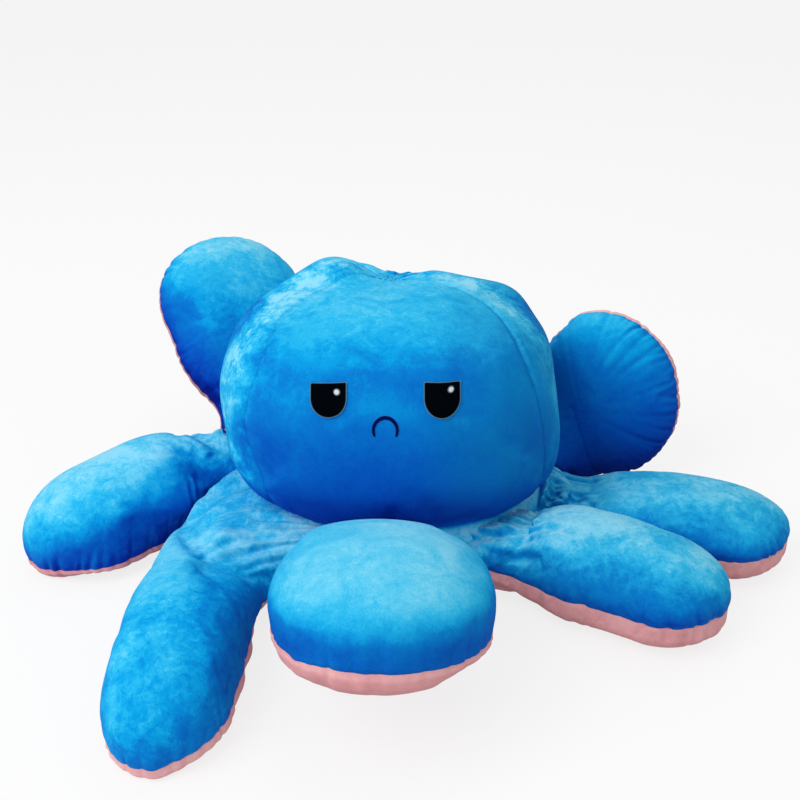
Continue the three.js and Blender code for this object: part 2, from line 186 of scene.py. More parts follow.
class Paint:
    """The nodes of one material or world, under construction."""

    def __init__(self, owner: bpy.types.Material | bpy.types.World) -> None:
        """Starts with an empty tree."""
        owner.use_nodes = True
        self.owner = owner
        self.tree = owner.node_tree
        self.tree.nodes.clear()

    def node(self, kind: str, settings: dict | None = None, values: dict | None = None,
             result: str | int = 0) -> Signal:
        """Adds any node: settings first, then the values or links of its sockets.

        Args:
            kind: the node's type.
            settings: its properties by name; stops are the colours of a ramp at their places.
            values: its inputs by identifier, name or index.
            result: which output is wanted.

        Returns:
            The wanted output.
        """
        made = self.tree.nodes.new(kind)
        for key, value in (settings or {}).items():
            if key == "stops":
                self.set_stops(made.color_ramp, value)
            else:
                setattr(made, key, value)
        for key, value in (values or {}).items():
            place = self.find(made.inputs, key)
            if isinstance(value, Signal):
                self.tree.links.new(value.socket, place)
            else:
                place.default_value = value
        return Signal(self, self.find(made.outputs, result) if made.outputs else None)

    @staticmethod
    def find(sockets: bpy.types.bpy_prop_collection, key: str | int) -> bpy.types.NodeSocket:
        """The socket with that index, identifier or name."""
        return sockets[key] if isinstance(key, int) else next(s for s in sockets if key in (s.identifier, s.name))

    @staticmethod
    def set_stops(ramp: bpy.types.ColorRamp, stops: list[tuple[float, tuple]]) -> None:
        """Puts the colours of a ramp at their places."""
        while len(ramp.elements) < len(stops):
            ramp.elements.new(1.0)
        for element, (place, colour) in zip(ramp.elements, stops):
            element.position = place
            element.color = (*colour, 1.0)

    def place(self) -> Signal:
        """Object coordinates, in metres."""
        return self.node("ShaderNodeTexCoord", result="Object")

    def carried(self, name: str) -> Signal:
        """A float that the mesh's points carry."""
        return self.node("ShaderNodeAttribute", {"attribute_name": name}, result="Fac")

    def noise(self, scale: float, detail: float, roughness: float = 0.5, distortion: float = 0.0) -> Signal:
        """Noise about 0, of a scale in features per metre and a detail in octaves."""
        values = {"Vector": self.place(), "Scale": scale, "Detail": detail,
                  "Roughness": roughness, "Distortion": distortion}
        return self.node("ShaderNodeTexNoise", None, values, "Fac") - 0.5

    def ramp(self, factor: Signal, stops: tuple) -> Signal:
        """Colour by factor along stops of screen colours, eased between them."""
        colours = [(place, linear(*colour)) for place, colour in stops]
        return self.node("ShaderNodeValToRGB", {"stops": colours}, {"Fac": factor}, "Color")

    def mix(self, factor: Signal, first: Signal | tuple, second: Signal | tuple) -> Signal:
        """Colour mix by a factor."""
        values = {"Factor_Float": factor}
        for key, colour in (("A_Color", first), ("B_Color", second)):
            values[key] = colour if isinstance(colour, Signal) else (*colour, 1.0)
        return self.node("ShaderNodeMix", {"data_type": "RGBA"}, values, "Result_Color")

    def bump(self, height: Signal, strength: float, distance: float, under: Signal | None = None) -> Signal:
        """Normal of a height map, over another normal if one is given."""
        values = {"Height": height, "Strength": strength, "Distance": distance}
        if under is not None:
            values["Normal"] = under
        return self.node("ShaderNodeBump", None, values, "Normal")

    def surface(self, values: dict) -> bpy.types.Material:
        """Closes the tree with a Principled BSDF and returns the material."""
        shader = self.node("ShaderNodeBsdfPrincipled", None, values, "BSDF")
        self.node("ShaderNodeOutputMaterial", None, {"Surface": shader})
        return self.owner


def linear(red: int, green: int, blue: int) -> Triple:
    """Linear colour of a screen colour from 0 to 255."""
    shares = np.array([red, green, blue]) / 255
    return tuple(np.where(shares <= 0.04045, shares / 12.92, ((shares + 0.055) / 1.055) ** 2.4).tolist())


@dataclass(frozen=True)
class VelvetFinish:
    """Short-pile velvet coloured by painted light: pale where faces turn up and towards the light, deep where they
    turn down or away.

    Each noise is its features per metre, octaves, roughness and distortion.
    """

    name: str
    slot: Slot
    stops: Stops
    sheen_tint: Colour
    # painted shade: a greyer ramp for the side of the toy away from the light
    worn_stops: Stops
    # painted light: how far the painted light that the points carry moves the shade
    painted_light_share: float = 0.42
    patch_share: float = 0.07
    crushed_patch_share: float = 0.13
    brushed_share: float = 0.08
    crushed_brushed_share: float = 0.3
    mark_share: float = 0.05
    crushed_mark_share: float = 0.4
    pile_share: float = 0.18
    patch_noise: tuple[float, ...] = (6.5, 6.0, 0.6, 0.5)
    brushed_noise: tuple[float, ...] = (24.0, 5.0, 0.66, 0.8)
    mark_noise: tuple[float, ...] = (110.0, 3.0, 0.6, 0.8)
    pile_noise: tuple[float, ...] = (520.0, 3.0, 0.7)
    crumple_height: float = 1.5 * MM
    pile_height: float = 0.6 * MM
    roughness: float = 0.82
    sheen: float = 0.12

    def material(self) -> bpy.types.Material:
        """Pale where the points carry painted light, deep where they carry painted shade.

        The shade is half, plus the painted light (lift) that the points carry, plus ragged patches about a
        hand wide, plus crushed marks of a centimetre and pile of a millimetre. Where the points
        carry painted grey shade, the colour turns in patches towards a greyer ramp: painted shade
        for the toy's right side, away from the light.

        Returns:
            The material.
        """
        paint = Paint(bpy.data.materials.new(self.name))
        # painted light and shade: the lift stands for how lit each place is, and the grey shade is painted shade on
        # the side away from the light
        lift, crushed, worn = (paint.carried(name) for name in ("lift", "crushed", "worn"))
        patches, brushed, marks, pile = (paint.noise(*numbers) for numbers in (
            self.patch_noise, self.brushed_noise, self.mark_noise, self.pile_noise))
        area = ((patches * 2.4 + brushed * 0.9 + marks * 0.3) * 2.0 + 0.5).held() - 0.5
        # painted light: the shade rises with the painted light that the points carry
        shade = (0.5 + lift * self.painted_light_share + area * (crushed * self.crushed_patch_share + self.patch_share)
                 + brushed * (crushed * self.crushed_brushed_share + self.brushed_share)
                 + marks * (crushed * self.crushed_mark_share + self.mark_share) + pile * self.pile_share).held()
        clean, greyed = (paint.ramp(shade, stops) for stops in (self.stops, self.worn_stops))
        # painted shade: the colour turns towards the greyer ramp where the points carry grey shade, broken in patches
        colour = paint.mix((worn * (patches * 1.6 - brushed * 1.4 + 0.7)).held(), clean, greyed)
        crumpled = paint.bump(marks * (crushed + 0.25) + brushed * 0.5, 0.4, self.crumple_height)
        return paint.surface({
            "Base Color": colour, "Roughness": self.roughness - (shade - 0.5) * 0.2,
            "Normal": paint.bump(pile, 0.6, self.pile_height, crumpled),
            "Sheen Weight": self.sheen, "Sheen Roughness": 0.4,
            "Sheen Tint": (*linear(*self.sheen_tint), 1.0), "Specular IOR Level": 0.05,
        })


@dataclass(frozen=True)
class StitchFinish:
    """Satin embroidery: close parallel threads with a soft gloss and an edge of another colour."""

    name: str
    slot: Slot
    colour: Colour
    edge_colour: Colour
    edge_share: float
    edge_sharpness: float = 12.0
    threads: float = 1400.0
    thread_shade: float = 0.01
    thread_height: float = 0.3 * MM
    fleck_scale: float = 500.0

    def material(self) -> bpy.types.Material:
        """Threads run across the patch by a wave; the edge colour lies where the rim is near.

        Returns:
            The material.
        """
        paint = Paint(bpy.data.materials.new(self.name))
        thread = paint.node("ShaderNodeTexWave", {"bands_direction": "DIAGONAL"},
                            {"Vector": paint.place(), "Scale": self.threads / (2 * math.pi),
                             "Distortion": 0.6}, "Fac")
        edge = ((paint.carried("rim") - (1 - self.edge_share)) * self.edge_sharpness).held()
        colour = paint.mix(edge, linear(*self.colour), linear(*self.edge_colour))
        fleck = paint.noise(self.fleck_scale, 2.0)
        return paint.surface({
            "Base Color": paint.mix(thread * self.thread_shade, colour, linear(*self.edge_colour)),
            "Roughness": 0.6 + fleck * 0.2,
            "Normal": paint.bump(thread + fleck * 0.4, 0.35, self.thread_height),
            "Specular IOR Level": 0.0,
        })


# The first ramp runs from deep to pale as painted light rises; the second, greyer ramp is painted shade for the side
# away from the light.
BLUE_VELVET = VelvetFinish(
    "blue_velvet", Slot.BLUE,
    ((0.0, (1, 28, 134)), (0.22, (2, 56, 172)), (0.45, (2, 94, 196)), (0.62, (3, 126, 210)),
     (0.74, (5, 164, 229)), (0.84, (46, 189, 238)), (0.92, (98, 207, 243)), (1.0, (142, 221, 248))),
    (40, 150, 255),
    ((0.0, (3, 40, 126)), (0.3, (3, 90, 174)), (0.6, (8, 138, 192)), (0.8, (56, 174, 210)), (1.0, (140, 210, 230))))
PINK_VELVET = VelvetFinish(
    "pink_velvet", Slot.PINK,
    ((0.0, (176, 112, 118)), (0.4, (222, 156, 160)), (0.65, (238, 182, 184)), (1.0, (250, 214, 212))),
    (255, 225, 225),
    ((0.0, (168, 112, 116)), (0.5, (220, 164, 166)), (1.0, (246, 210, 206))),
    painted_light_share=0.25, patch_share=0.12)
EYE_STITCH = StitchFinish("eye_stitch", Slot.BLACK, (0, 0, 3), (112, 164, 190), 0.065)
GLINT_STITCH = StitchFinish("glint_stitch", Slot.WHITE, (214, 222, 228), (96, 108, 120), 0.3)
MOUTH_STITCH = StitchFinish("mouth_stitch", Slot.NAVY, (4, 14, 78), (54, 118, 190), 0.2)


class Wardrobe:
    """Makes each finish once and hands its material out."""

    def __init__(self) -> None:
        """Starts with nothing made."""
        self.made: dict[str, bpy.types.Material] = {}

    def dress(self, piece: Piece, finish: VelvetFinish | StitchFinish) -> None:
        """Gives a piece a finish."""
        if finish.name not in self.made:
            self.made[finish.name] = finish.material()
        piece.data.materials.clear()
        piece.data.materials.append(self.made[finish.name])


WARDROBE = Wardrobe()


# Meshes


def grid_quads(index: Array, flipped: bool = False) -> Array:
    """Quads of a grid of point numbers, rows by columns; the normal is rows crossed with columns."""
    corners = [index[:-1, :-1], index[1:, :-1], index[1:, 1:], index[:-1, 1:]]
    if flipped:
        corners.reverse()
    return np.stack(corners, axis=-1).reshape(-1, 4)


def new_piece(name: str, points: Array, faces: list, marks: dict[str, Array] | None = None) -> Piece:
    """A mesh object at the origin.

    Args:
        name: its name.
        points: places of its points, in metres.
        faces: lists of point numbers.
        marks: floats that its points carry, by name.

    Returns:
        The object, smooth shaded.
    """
    mesh = bpy.data.meshes.new(name)
    mesh.from_pydata(points.reshape(-1, 3).tolist(), [], faces)
    for key, values in (marks or {}).items():
        mesh.attributes.new(key, "FLOAT", "POINT").data.foreach_set("value", values.astype(np.float32).ravel())
    mesh.validate()
    mesh.shade_smooth()
    piece = bpy.data.objects.new(name, mesh)
    bpy.context.scene.collection.objects.link(piece)
    return piece


def read(items: bpy.types.bpy_prop_collection, key: str, kind: type = np.float32) -> Array:
    """One number of every item of a mesh."""
    values = np.empty(len(items), kind)
    items.foreach_get(key, values)
    return values


def rows_of(items: bpy.types.bpy_prop_collection, key: str) -> Array:
    """One vector of every item of a mesh, a row each."""
    values = np.empty(len(items) * 3, np.float32)
    items.foreach_get(key, values)
    return values.reshape(-1, 3).astype(float)


def points_of(mesh: Mesh) -> Array:
    """Places of a mesh's points."""
    return rows_of(mesh.vertices, "co")


def normals_of(mesh: Mesh) -> Array:
    """Unit normals at a mesh's points."""
    return rows_of(mesh.vertex_normals, "vector")


def mark_of(mesh: Mesh, name: str) -> Array:
    """One of the floats that a mesh's points carry."""
    return read(mesh.attributes[name].data, "value").astype(float)


def set_marks(mesh: Mesh, **marks: Array) -> None:
    """Writes floats for every point of a mesh, by name."""
    for name, values in marks.items():
        layer = mesh.attributes.get(name) or mesh.attributes.new(name, "FLOAT", "POINT")
        layer.data.foreach_set("value", values.astype(np.float32).ravel())


def eased(lift: Array, knee: float = 0.5, room: float = 0.6, least: float = -1.3) -> Array:
    """The painted light (lift) with its pale end drawn in: above a knee it climbs by a tanh, and no further than its
    room.
    """
    return np.where(lift > knee, knee + room * np.tanh((lift - knee) / room), np.maximum(lift, least))


def move_points(mesh: Mesh, points: Array) -> None:
    """Moves every point of a mesh."""
    mesh.vertices.foreach_set("co", points.astype(np.float32).ravel())
    mesh.update()


def settle(piece: Piece) -> None:
    """Applies every modifier of a piece, so that its mesh is final."""
    graph = bpy.context.evaluated_depsgraph_get()
    done = bpy.data.meshes.new_from_object(piece.evaluated_get(graph), preserve_all_data_layers=True,
                                           depsgraph=graph)
    piece.modifiers.clear()
    piece.data = done


def refine(piece: Piece) -> None:
    """Adds one level of smooth subdivision and applies it."""
    finer = piece.modifiers.new("finer", "SUBSURF")
    finer.levels = finer.render_levels = 1
    settle(piece)


def thicken(piece: Piece, thickness: float) -> None:
    """Turns a skin into cloth of a thickness, inward from the skin, and applies it."""
    wall = piece.modifiers.new("cloth", "SOLIDIFY")
    wall.thickness = thickness
    wall.offset = -1
    wall.use_rim = True
    settle(piece)


def cut_out(source: Piece, name: str, panel: int) -> Piece:
    """A new piece from the faces of a mesh that carry one panel number.

    Args:
        source: a piece whose faces have panel numbers as material numbers.
        name: the new piece's name.
        panel: the wanted number.

    Returns:
        The new piece, with the source's marks.
    """
    mesh = source.data
    numbers = read(mesh.polygons, "material_index", np.int32)
    sizes = read(mesh.polygons, "loop_total", np.int32)
    corners = read(mesh.loops, "vertex_index", np.int32)
    wanted = np.repeat(numbers == panel, sizes)
    used, fresh = np.unique(corners[wanted], return_inverse=True)
    faces = [face.tolist() for face in np.split(fresh, np.cumsum(sizes[numbers == panel])[:-1])]
    marks = {layer.name: mark_of(mesh, layer.name)[used] for layer in mesh.attributes
             if layer.domain == "POINT" and layer.data_type == "FLOAT"}
    return new_piece(name, points_of(mesh)[used], faces, marks)


def number_panels(piece: Piece, panels: Array) -> None:
    """Gives each face of a piece its panel number, for cut_out."""
    for _ in range(panels.max() + 1):
        piece.data.materials.append(None)
    piece.data.polygons.foreach_set("material_index", panels.astype(np.int32))


@dataclass
class Stuffing:
    """Cloth simulation that fills a sewn skin, and how far it may move the skin."""

    pressure: float = 4.0
    frames: int = 20
    seam_gather: float = 0.08
    slack: float = -0.06
    stretch_stiffness: float = 12.0
    cap: float = 9 * MM

    def fill(self, piece: Piece, held: Array, sewn: Array) -> None:
        """Inflates a skin whose seams are drawn in, and applies the result.

        Args:
            piece: the skin, at its sewn shape.
            held: how firmly each point is held, from 0 to 1.
            sewn: how close each point is to a seam, from 0 to 1.
        """
        before = points_of(piece.data)
        for name, weights in (("held", held), ("sewn", sewn)):
            group = piece.vertex_groups.new(name=name)
            for level in np.unique(np.round(weights, 2)):
                if level > 0:
                    chosen = np.flatnonzero(np.round(weights, 2) == level)
                    group.add(chosen.tolist(), float(level), "REPLACE")
        cloth = piece.modifiers.new("stuffing", "CLOTH")
        settings = {
            "quality": 5, "mass": 0.15, "tension_stiffness": self.stretch_stiffness,
            "compression_stiffness": self.stretch_stiffness, "shear_stiffness": 4,
            "bending_stiffness": 0.3, "air_damping": 2, "use_pressure": True,
            "uniform_pressure_force": self.pressure, "vertex_group_mass": "held",
            "pin_stiffness": 1, "vertex_group_shrink": "sewn",
            "shrink_min": self.slack, "shrink_max": self.seam_gather,
        }
        for key, value in settings.items():
            setattr(cloth.settings, key, value)
        cloth.settings.effector_weights.gravity = 0
        cloth.collision_settings.use_collision = False
        cloth.point_cache.frame_end = self.frames
        scene = bpy.context.scene
        for number in range(1, self.frames + 1):
            scene.frame_set(number)
        settle(piece)
        moved = points_of(piece.data) - before
        far = np.linalg.norm(moved, axis=1, keepdims=True)
        log.info("%s moved by up to %.1f mm", piece.name, far.max() / MM)
        kept = self.cap * np.tanh(far / self.cap) / np.maximum(far, TINY)
        move_points(piece.data, before + moved * kept)
        scene.frame_set(1)


def puckers(run: Array, away: Array, length: float, spacing: float, depth: float,
            reach: float, seed: int) -> Array:
    """Short dents that a tight seam draws into the cloth, square to the seam.

    Each dent is minus its depth, times a bell along the seam, times a bell away from it.

    Args:
        run: way along the seam, in metres.
        away: way from the seam.
        length: the seam's whole length.
        spacing: mean distance between two dents.
        depth: of the deepest dent.
        reach: of the longest dent.
        seed: of its random numbers.

    Returns:
        How far each point goes out.
    """
    count = max(int(length / spacing), 1)
    dice = np.random.default_rng(seed)
    places = (np.arange(count) + dice.uniform(0.1, 0.9, count)) * length / count
    widths = dice.uniform(0.18, 0.34, count) * spacing
    depths = depth * dice.uniform(0.25, 1.0, count) ** 1.3
    reaches = reach * dice.uniform(0.35, 1.0, count)
    slants = dice.uniform(-0.35, 0.35, count)
    total = np.zeros(len(run))
    for first in range(0, count, 16):
        last = min(first + 16, count)
        offset = run[:, None] - places[first:last] - slants[first:last] * away[:, None]
        dents = bell(offset, widths[first:last]) * bell(away[:, None], reaches[first:last])
        total -= (dents * depths[first:last]).sum(axis=1)
    return total


@dataclass(frozen=True)
class Fold:
    """One ridge or valley along a broken line of places on a piece."""

    path: Pairs
    depth: float
    width: float = 6 * MM

    def rise(self, first: Array, second: Array) -> Array:
        """How far the fold lifts each point: its depth times a bell of the distance to its line.

        The fold fades over its last third, towards both ends, and a ridge stands beside a valley.

        Args:
            first: first coordinate of each point, in metres.
            second: second coordinate.

        Returns:
            The rise, in metres.
        """
        knots = np.array(self.path)
        steps = np.linalg.norm(np.diff(knots, axis=0), axis=1)
        whole = steps.sum()
        here = np.stack([first, second], axis=-1)
        best, where, done = np.full(len(first), np.inf), np.zeros(len(first)), 0.0
        for start, end, step in zip(knots[:-1], knots[1:], steps):
            share = np.clip((here - start) @ (end - start) / step**2, 0, 1)
            gap = np.linalg.norm(here - start - share[:, None] * (end - start), axis=1)
            near = gap < best
            best = np.where(near, gap, best)
            where = np.where(near, done + share * step, where)
            done += step
        ends = smooth(3 * where / whole + 0.25) * smooth(3 * (1 - where / whole) + 0.1)
        shoulder = bell(best - 1.9 * self.width, 0.9 * self.width) * 0.3
        return self.depth * ends * (bell(best, self.width) - shoulder)


# Head


@dataclass(frozen=True)
class Bump:
    """A rise with a bell's outline along one axis: how much, where its middle is and how wide it is."""

    rise: float
    middle: float
    width: float

    def at(self, where: Array) -> Array:
        """The rise at places along the axis."""
        return self.rise * bell(where - self.middle, self.width)

    def round(self, azimuth: Array) -> Array:
        """The rise at azimuths, whichever way round is shorter."""
        return self.rise * bell(turn_from(azimuth, self.middle), self.width)


@dataclass
class Head:
    """The stuffed bowl: four velvet panels that meet in a dimple at the crown."""

    half_width: float = 206 * MM
    half_depth: float = 180 * MM
    mean_radius: float = 190 * MM
    height: float = 305 * MM
    hem_height: float = 42 * MM
    squareness: float = 2.4
    seam_azimuth: float = 52.5
    seam_crowding: float = 0.35
    dome_shares: Pairs = (
        (0.83, 0.03), (0.895, 0.08), (0.93, 0.14), (0.9, 0.21), (0.835, 0.27), (0.86, 0.315),
        (0.925, 0.375), (0.985, 0.47), (1, 0.573), (0.995, 0.68), (0.96, 0.775), (0.895, 0.865),
        (0.8, 0.934), (0.65, 0.982), (0.48, 1), (0.33, 0.998), (0.2, 0.988), (0.09, 0.975), (0, 0.968))
    waist: float = 84 * MM
    crown_back: float = 82 * MM
    lean: float = 10 * MM
    rows: int = 96
    held_rows: int = 24
    columns: int = 216
    seam_depth: float = 1.8 * MM
    seam_width: float = 4 * MM
    right_swings: Pair = (31, 7)
    left_swings: Pair = (26, 5)
    back_swing: float = 24
    crown: Bump = Bump(1, 0, 75 * MM)
    faint_seam: Bump = Bump(1, 52.5, 30)
    crown_fold: Bump = Bump(0.6 * MM, 38 * MM, 24 * MM)
    left_lobe: Bump = Bump(18 * MM, -72 * MM, 44 * MM)
    right_lobe: Bump = Bump(9 * MM, 150 * MM, 40 * MM)
    valley: Bump = Bump(8 * MM, 16 * MM, 26 * MM)
    shoulder: Bump = Bump(6 * MM, 84, 30)
    shoulder_height: Bump = Bump(1, 255 * MM, 28 * MM)
    waist_groove: Bump = Bump(2.5 * MM, 84 * MM, 4 * MM)
    frosts: tuple[Bump, Bump] = (Bump(1, 288, 22), Bump(0.6, 80, 20))
    # Painted light and shade on the head: sheen strips beside the face panel, a band of painted shade high on the
    # face, and painted light over the crown.
    painted_sheen_left: Bump = Bump(1, 289, 15)
    painted_sheen_right: Bump = Bump(1, 74, 18)
    painted_shade_band: Bump = Bump(0.38, 280 * MM, 22 * MM)
    painted_light_crown: Bump = Bump(1, 0, 72 * MM)
    axis: Vector = field(default_factory=lambda: sum(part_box("pocket_lining"), Vector()) / 2)

    def profile(self, way: Array) -> tuple[Array, Array]:
        """Half-width share and height of the dome at ways from 0 at the hem to 1 at the crown.

        A uniform Catmull-Rom curve through the shares.

        Args:
            way: places along the curve.

        Returns:
            The share of the half width, and the height in metres.
        """
        knots = np.array(self.dome_shares)
        last = len(knots) - 1
        place = np.clip(way, 0, 1) * last
        number = np.minimum(place.astype(int), last - 1)
        t = (place - number)[:, None]
        p0, p1 = knots[np.maximum(number - 1, 0)], knots[number]
        p2, p3 = knots[number + 1], knots[np.minimum(number + 2, last)]
        v0, v1 = (p2 - p0) / 2, (p3 - p1) / 2
        curve = ((2 * p1 - 2 * p2 + v0 + v1) * t**3 + (-3 * p1 + 3 * p2 - 2 * v0 - v1) * t**2 + v0 * t + p1)
        return np.maximum(curve[:, 0], 0), curve[:, 1] * self.height

    def plan(self, azimuth: Array) -> Array:
        """Point of the head's rounded plan at an azimuth, for a share of 1, as x and y."""
        way = outward(azimuth)[..., :2]
        total = ((np.abs(way) / (self.half_width, self.half_depth)) ** self.squareness).sum(axis=-1, keepdims=True)
        return way * total ** (-1 / self.squareness)

    def wall(self, azimuth: Array, height: Array, depth: float) -> Array:
        """Points inside the dome's surface, at azimuths and heights below its widest place.

        Args:
            azimuth: in degrees.
            height: above the floor.
            depth: how far inside the surface.

        Returns:
            The points.
        """
        shares, heights = self.profile(np.linspace(0, 0.5, 300))
        share = np.interp(height, heights, shares)
        flat = self.plan(azimuth)
        reach = np.linalg.norm(flat, axis=-1, keepdims=True)
        flat = flat * share[..., None] * (1 - depth / reach)
        flat[..., 0] += self.leaning(height)
        return np.concatenate([flat, height[..., None]], axis=-1) + self.centre()

    def leaning(self, height: Array) -> Array:
        """How far the head's lower half is pushed to the right at a height."""
        return self.lean * rising(height, self.hem_height, 40 * MM) * falling(height, 230 * MM, 110 * MM)

    def centre(self) -> Array:
        """The head's axis on the floor."""
        return np.array([self.axis.x, self.axis.y, 0.0])

    def column_azimuths(self) -> Array:
        """Azimuths of the columns, closer together beside each seam, from the right face seam round."""
        seams = np.append(self.seams(), 360 + self.seam_azimuth)
        parts = []
        for first, last in zip(seams[:-1], seams[1:]):
            count = round(self.columns * (last - first) / 360)
            even = np.arange(count) / count
            crowded = even - self.seam_crowding * np.sin(2 * np.pi * even) / (2 * np.pi)
            parts.append(first + (last - first) * crowded)
        return np.concatenate(parts)

    def seams(self) -> Array:
        """Azimuths of the four seams, from the right face seam round."""
        return np.array([self.seam_azimuth, 180 - self.seam_azimuth, 180 + self.seam_azimuth, 360 - self.seam_azimuth])

    def swung(self, share: Array, height: Array) -> Array:
        """Azimuths of every row and column: the face panel widens and the back one narrows at the crown.

        Each seam swings by its own angle a row, and the columns between two seams share it out
        evenly.

        Args:
            share: of the half width, one a row.
            height: one a row.

        Returns:
            A grid of azimuths.
        """
        azimuths = self.column_azimuths()
        right, first_back, last_back, left = self.seams()
        knots = [0, right, first_back, 180, last_back, left, 360, 360 + right]
        crown = falling(share, 0.93, 0.5) * (height > self.height / 2)
        low = falling(height, 215 * MM, 90 * MM)
        swings = ((self.right_swings[0] * crown + self.right_swings[1], [0, 1, 0, 0, 0, 0, 0, 1]),
                  (self.left_swings[0] * crown - self.left_swings[1] * low, [0, 0, 0, 0, 0, -1, 0, 0]),
                  (self.back_swing * crown, [0, 0, 1, 0, -1, 0, 0, 0]))
        return azimuths[None] + sum(swing[:, None] * np.interp(azimuths, knots, parts)[None]
                                    for swing, parts in swings)

    def seam_columns(self) -> Array:
        """Numbers of the columns that lie on the seams."""
        return np.abs(self.column_azimuths()[None] - self.seams()[:, None]).argmin(axis=1)

    def build(self, stuffing: Stuffing) -> list[Piece]:
        """Sews the dome, stuffs it, dents its seams and cuts it into its four panels.

        Args:
            stuffing: the simulation's settings.

        Returns:
            The four panels.
        """
        share, height = self.profile(np.linspace(0, 1, self.rows + 1))
        azimuths, seams = self.column_azimuths(), self.seam_columns()
        flat = self.plan(self.swung(share, height)) * share[:, None, None]
        flat[..., 0] += self.leaning(height)[:, None]
        flat[..., 1] += self.crown_back * (falling(share, 0.8, 0.8) * (height > self.height / 2))[:, None]
        points = np.concatenate([flat, np.broadcast_to(height[:, None, None], (*flat.shape[:2], 1))], axis=-1)
        points = points + self.centre()
        count = len(azimuths)
        index = np.arange(self.rows * count).reshape(self.rows, count)
        ring = np.concatenate([index, index[:, :1]], axis=1)
        tips = np.stack([ring[-1, :-1], ring[-1, 1:], np.full(count, index.size)], axis=-1)
        panel_of = np.searchsorted(seams, np.arange(count), side="right") - 1
        gap = np.min(np.abs(turn_from(azimuths[:, None], azimuths[seams][None])), axis=1)
        away = np.radians(gap)[None] * np.linalg.norm(flat, axis=-1)
        run = np.cumsum(np.linalg.norm(np.diff(points, axis=0, prepend=points[:1]), axis=-1), axis=0)
        side = np.broadcast_to(np.radians(azimuths)[None] * self.mean_radius, away.shape)
        marks = {name: np.append(values[:-1].ravel(), values[-1, 0])
                 for name, values in (("away", away), ("run", run), ("side", side))}
        body = np.concatenate([points[:-1].reshape(-1, 3), points[-1, :1]])
        piece = new_piece("dome", body, grid_quads(ring, flipped=True).tolist() + tips.tolist(), marks)
        number_panels(piece, np.tile(panel_of, self.rows))
        row = np.append(np.repeat(np.arange(self.rows), count), self.rows)
        stuffing.fill(piece, np.where(row <= self.held_rows, 1.0, 0.0), bell(marks["away"], 9 * MM))
        refine(piece)
        self.dent(piece.data)
        made = []
        for number, name in enumerate(("right", "back", "left", "front")):
            panel = cut_out(piece, f"velvet_head_{name}", number)
            thicken(panel, CLOTH_THICKNESS)
            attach(panel, "head")
            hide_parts(f"head_panel_{name}")
            WARDROBE.dress(panel, BLUE_VELVET)
            made.append(panel)
        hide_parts("head_filling")
        bpy.data.objects.remove(piece)
        return made

    def dent(self, mesh: Mesh) -> None:
        """Draws the seams in, puckers them, gathers the crown, and marks the painted light and shade that colour the
        velvet.

        Args:
            mesh: the stuffed dome.
        """
        points, normals = points_of(mesh), normals_of(mesh)
        away, run, side = (mark_of(mesh, name) for name in ("away", "run", "side"))
        azimuth, high = np.degrees(side / self.mean_radius), points[:, 2]
        middle = points - self.centre()
        across, deep = middle[:, 0], middle[:, 1] - self.crown_back
        reach = np.hypot(across, deep)
        upper = high > self.height / 2
        top = rising(high / self.height, 0.8, 0.12)
        above = rising(high, self.waist, 30 * MM)
        below = falling(high, self.waist + 14 * MM, 20 * MM)
        faint = self.faint_seam.round(azimuth) * falling(high, 255 * MM, 40 * MM)
        drawn = self.seam_depth * (1 - 0.75 * faint) + 0.8 * MM * self.crown.at(reach) * upper
        out = -above * drawn * bell(away, self.seam_width)
        for number, column in enumerate(self.seam_columns()):
            near = np.abs(turn_from(azimuth, self.column_azimuths()[column])) < 40
            out = out + above * near * (1 - faint) * puckers(run, away, run.max(), 26 * MM, MM, 15 * MM, 11 + number)
        turn = np.arctan2(deep, across)
        folds = np.sin(turn * 9 + 1.3 * np.sin(reach * 60)) + 0.6 * np.sin(turn * 14 + 2)
        out = out + folds * self.crown_fold.at(reach) * upper
        lobes = self.left_lobe.at(across) + self.right_lobe.at(across)
        valley = self.valley.at(across) * rising(deep, -10 * MM, 35 * MM)
        out = out + top * (lobes * rising(deep, -48 * MM, 40 * MM) - valley)
        out = out + self.shoulder.at(azimuth) * self.shoulder_height.at(high)
        gathers = puckers(side, np.abs(high - self.waist), 2 * np.pi * self.mean_radius, 15 * MM, 3 * MM, 24 * MM, 5)
        out = out + below * gathers - self.waist_groove.at(high)
        move_points(mesh, points + normals * out[:, None])
        strip = rising(-np.cos(np.radians(azimuth)), -0.5, 0.25)
        frost = self.frosts[0].round(azimuth) + self.frosts[1].at(azimuth)
        crushed = (0.3 * strip + 0.75 * frost) * above + 0.2 * top + 0.4 * below
        # painted light by facing, height and side strips; painted grey shade rising towards the head's right, away
        # from the light
        set_marks(mesh, lift=eased(self.painted_light(mesh, azimuth, reach)), crushed=np.clip(crushed, 0, 1),
                  worn=rising(across, 20 * MM, 150 * MM) * above)

    def painted_light(self, mesh: Mesh, azimuth: Array, reach: Array) -> Array:
        """Painted light and shade on the head: light by facing and height, painted sheen in strips beside the face
        panel, a band of painted shade high on the face, and painted light on the crown and at the hem, where it lifts
        the shade under the head's bulge.

        Args:
            mesh: the final dome.
            azimuth: of each point, in degrees.
            reach: way of each point from the crown's dimple, seen from above.

        Returns:
            The lift.
        """
        high = points_of(mesh)[:, 2]
        # painted sheen: pale strips at the grazing sides beside the face panel
        left = self.painted_sheen_left.round(azimuth) * rising(high, 40 * MM, 50 * MM)
        right = self.painted_sheen_right.round(azimuth) * rising(high, 60 * MM, 60 * MM)
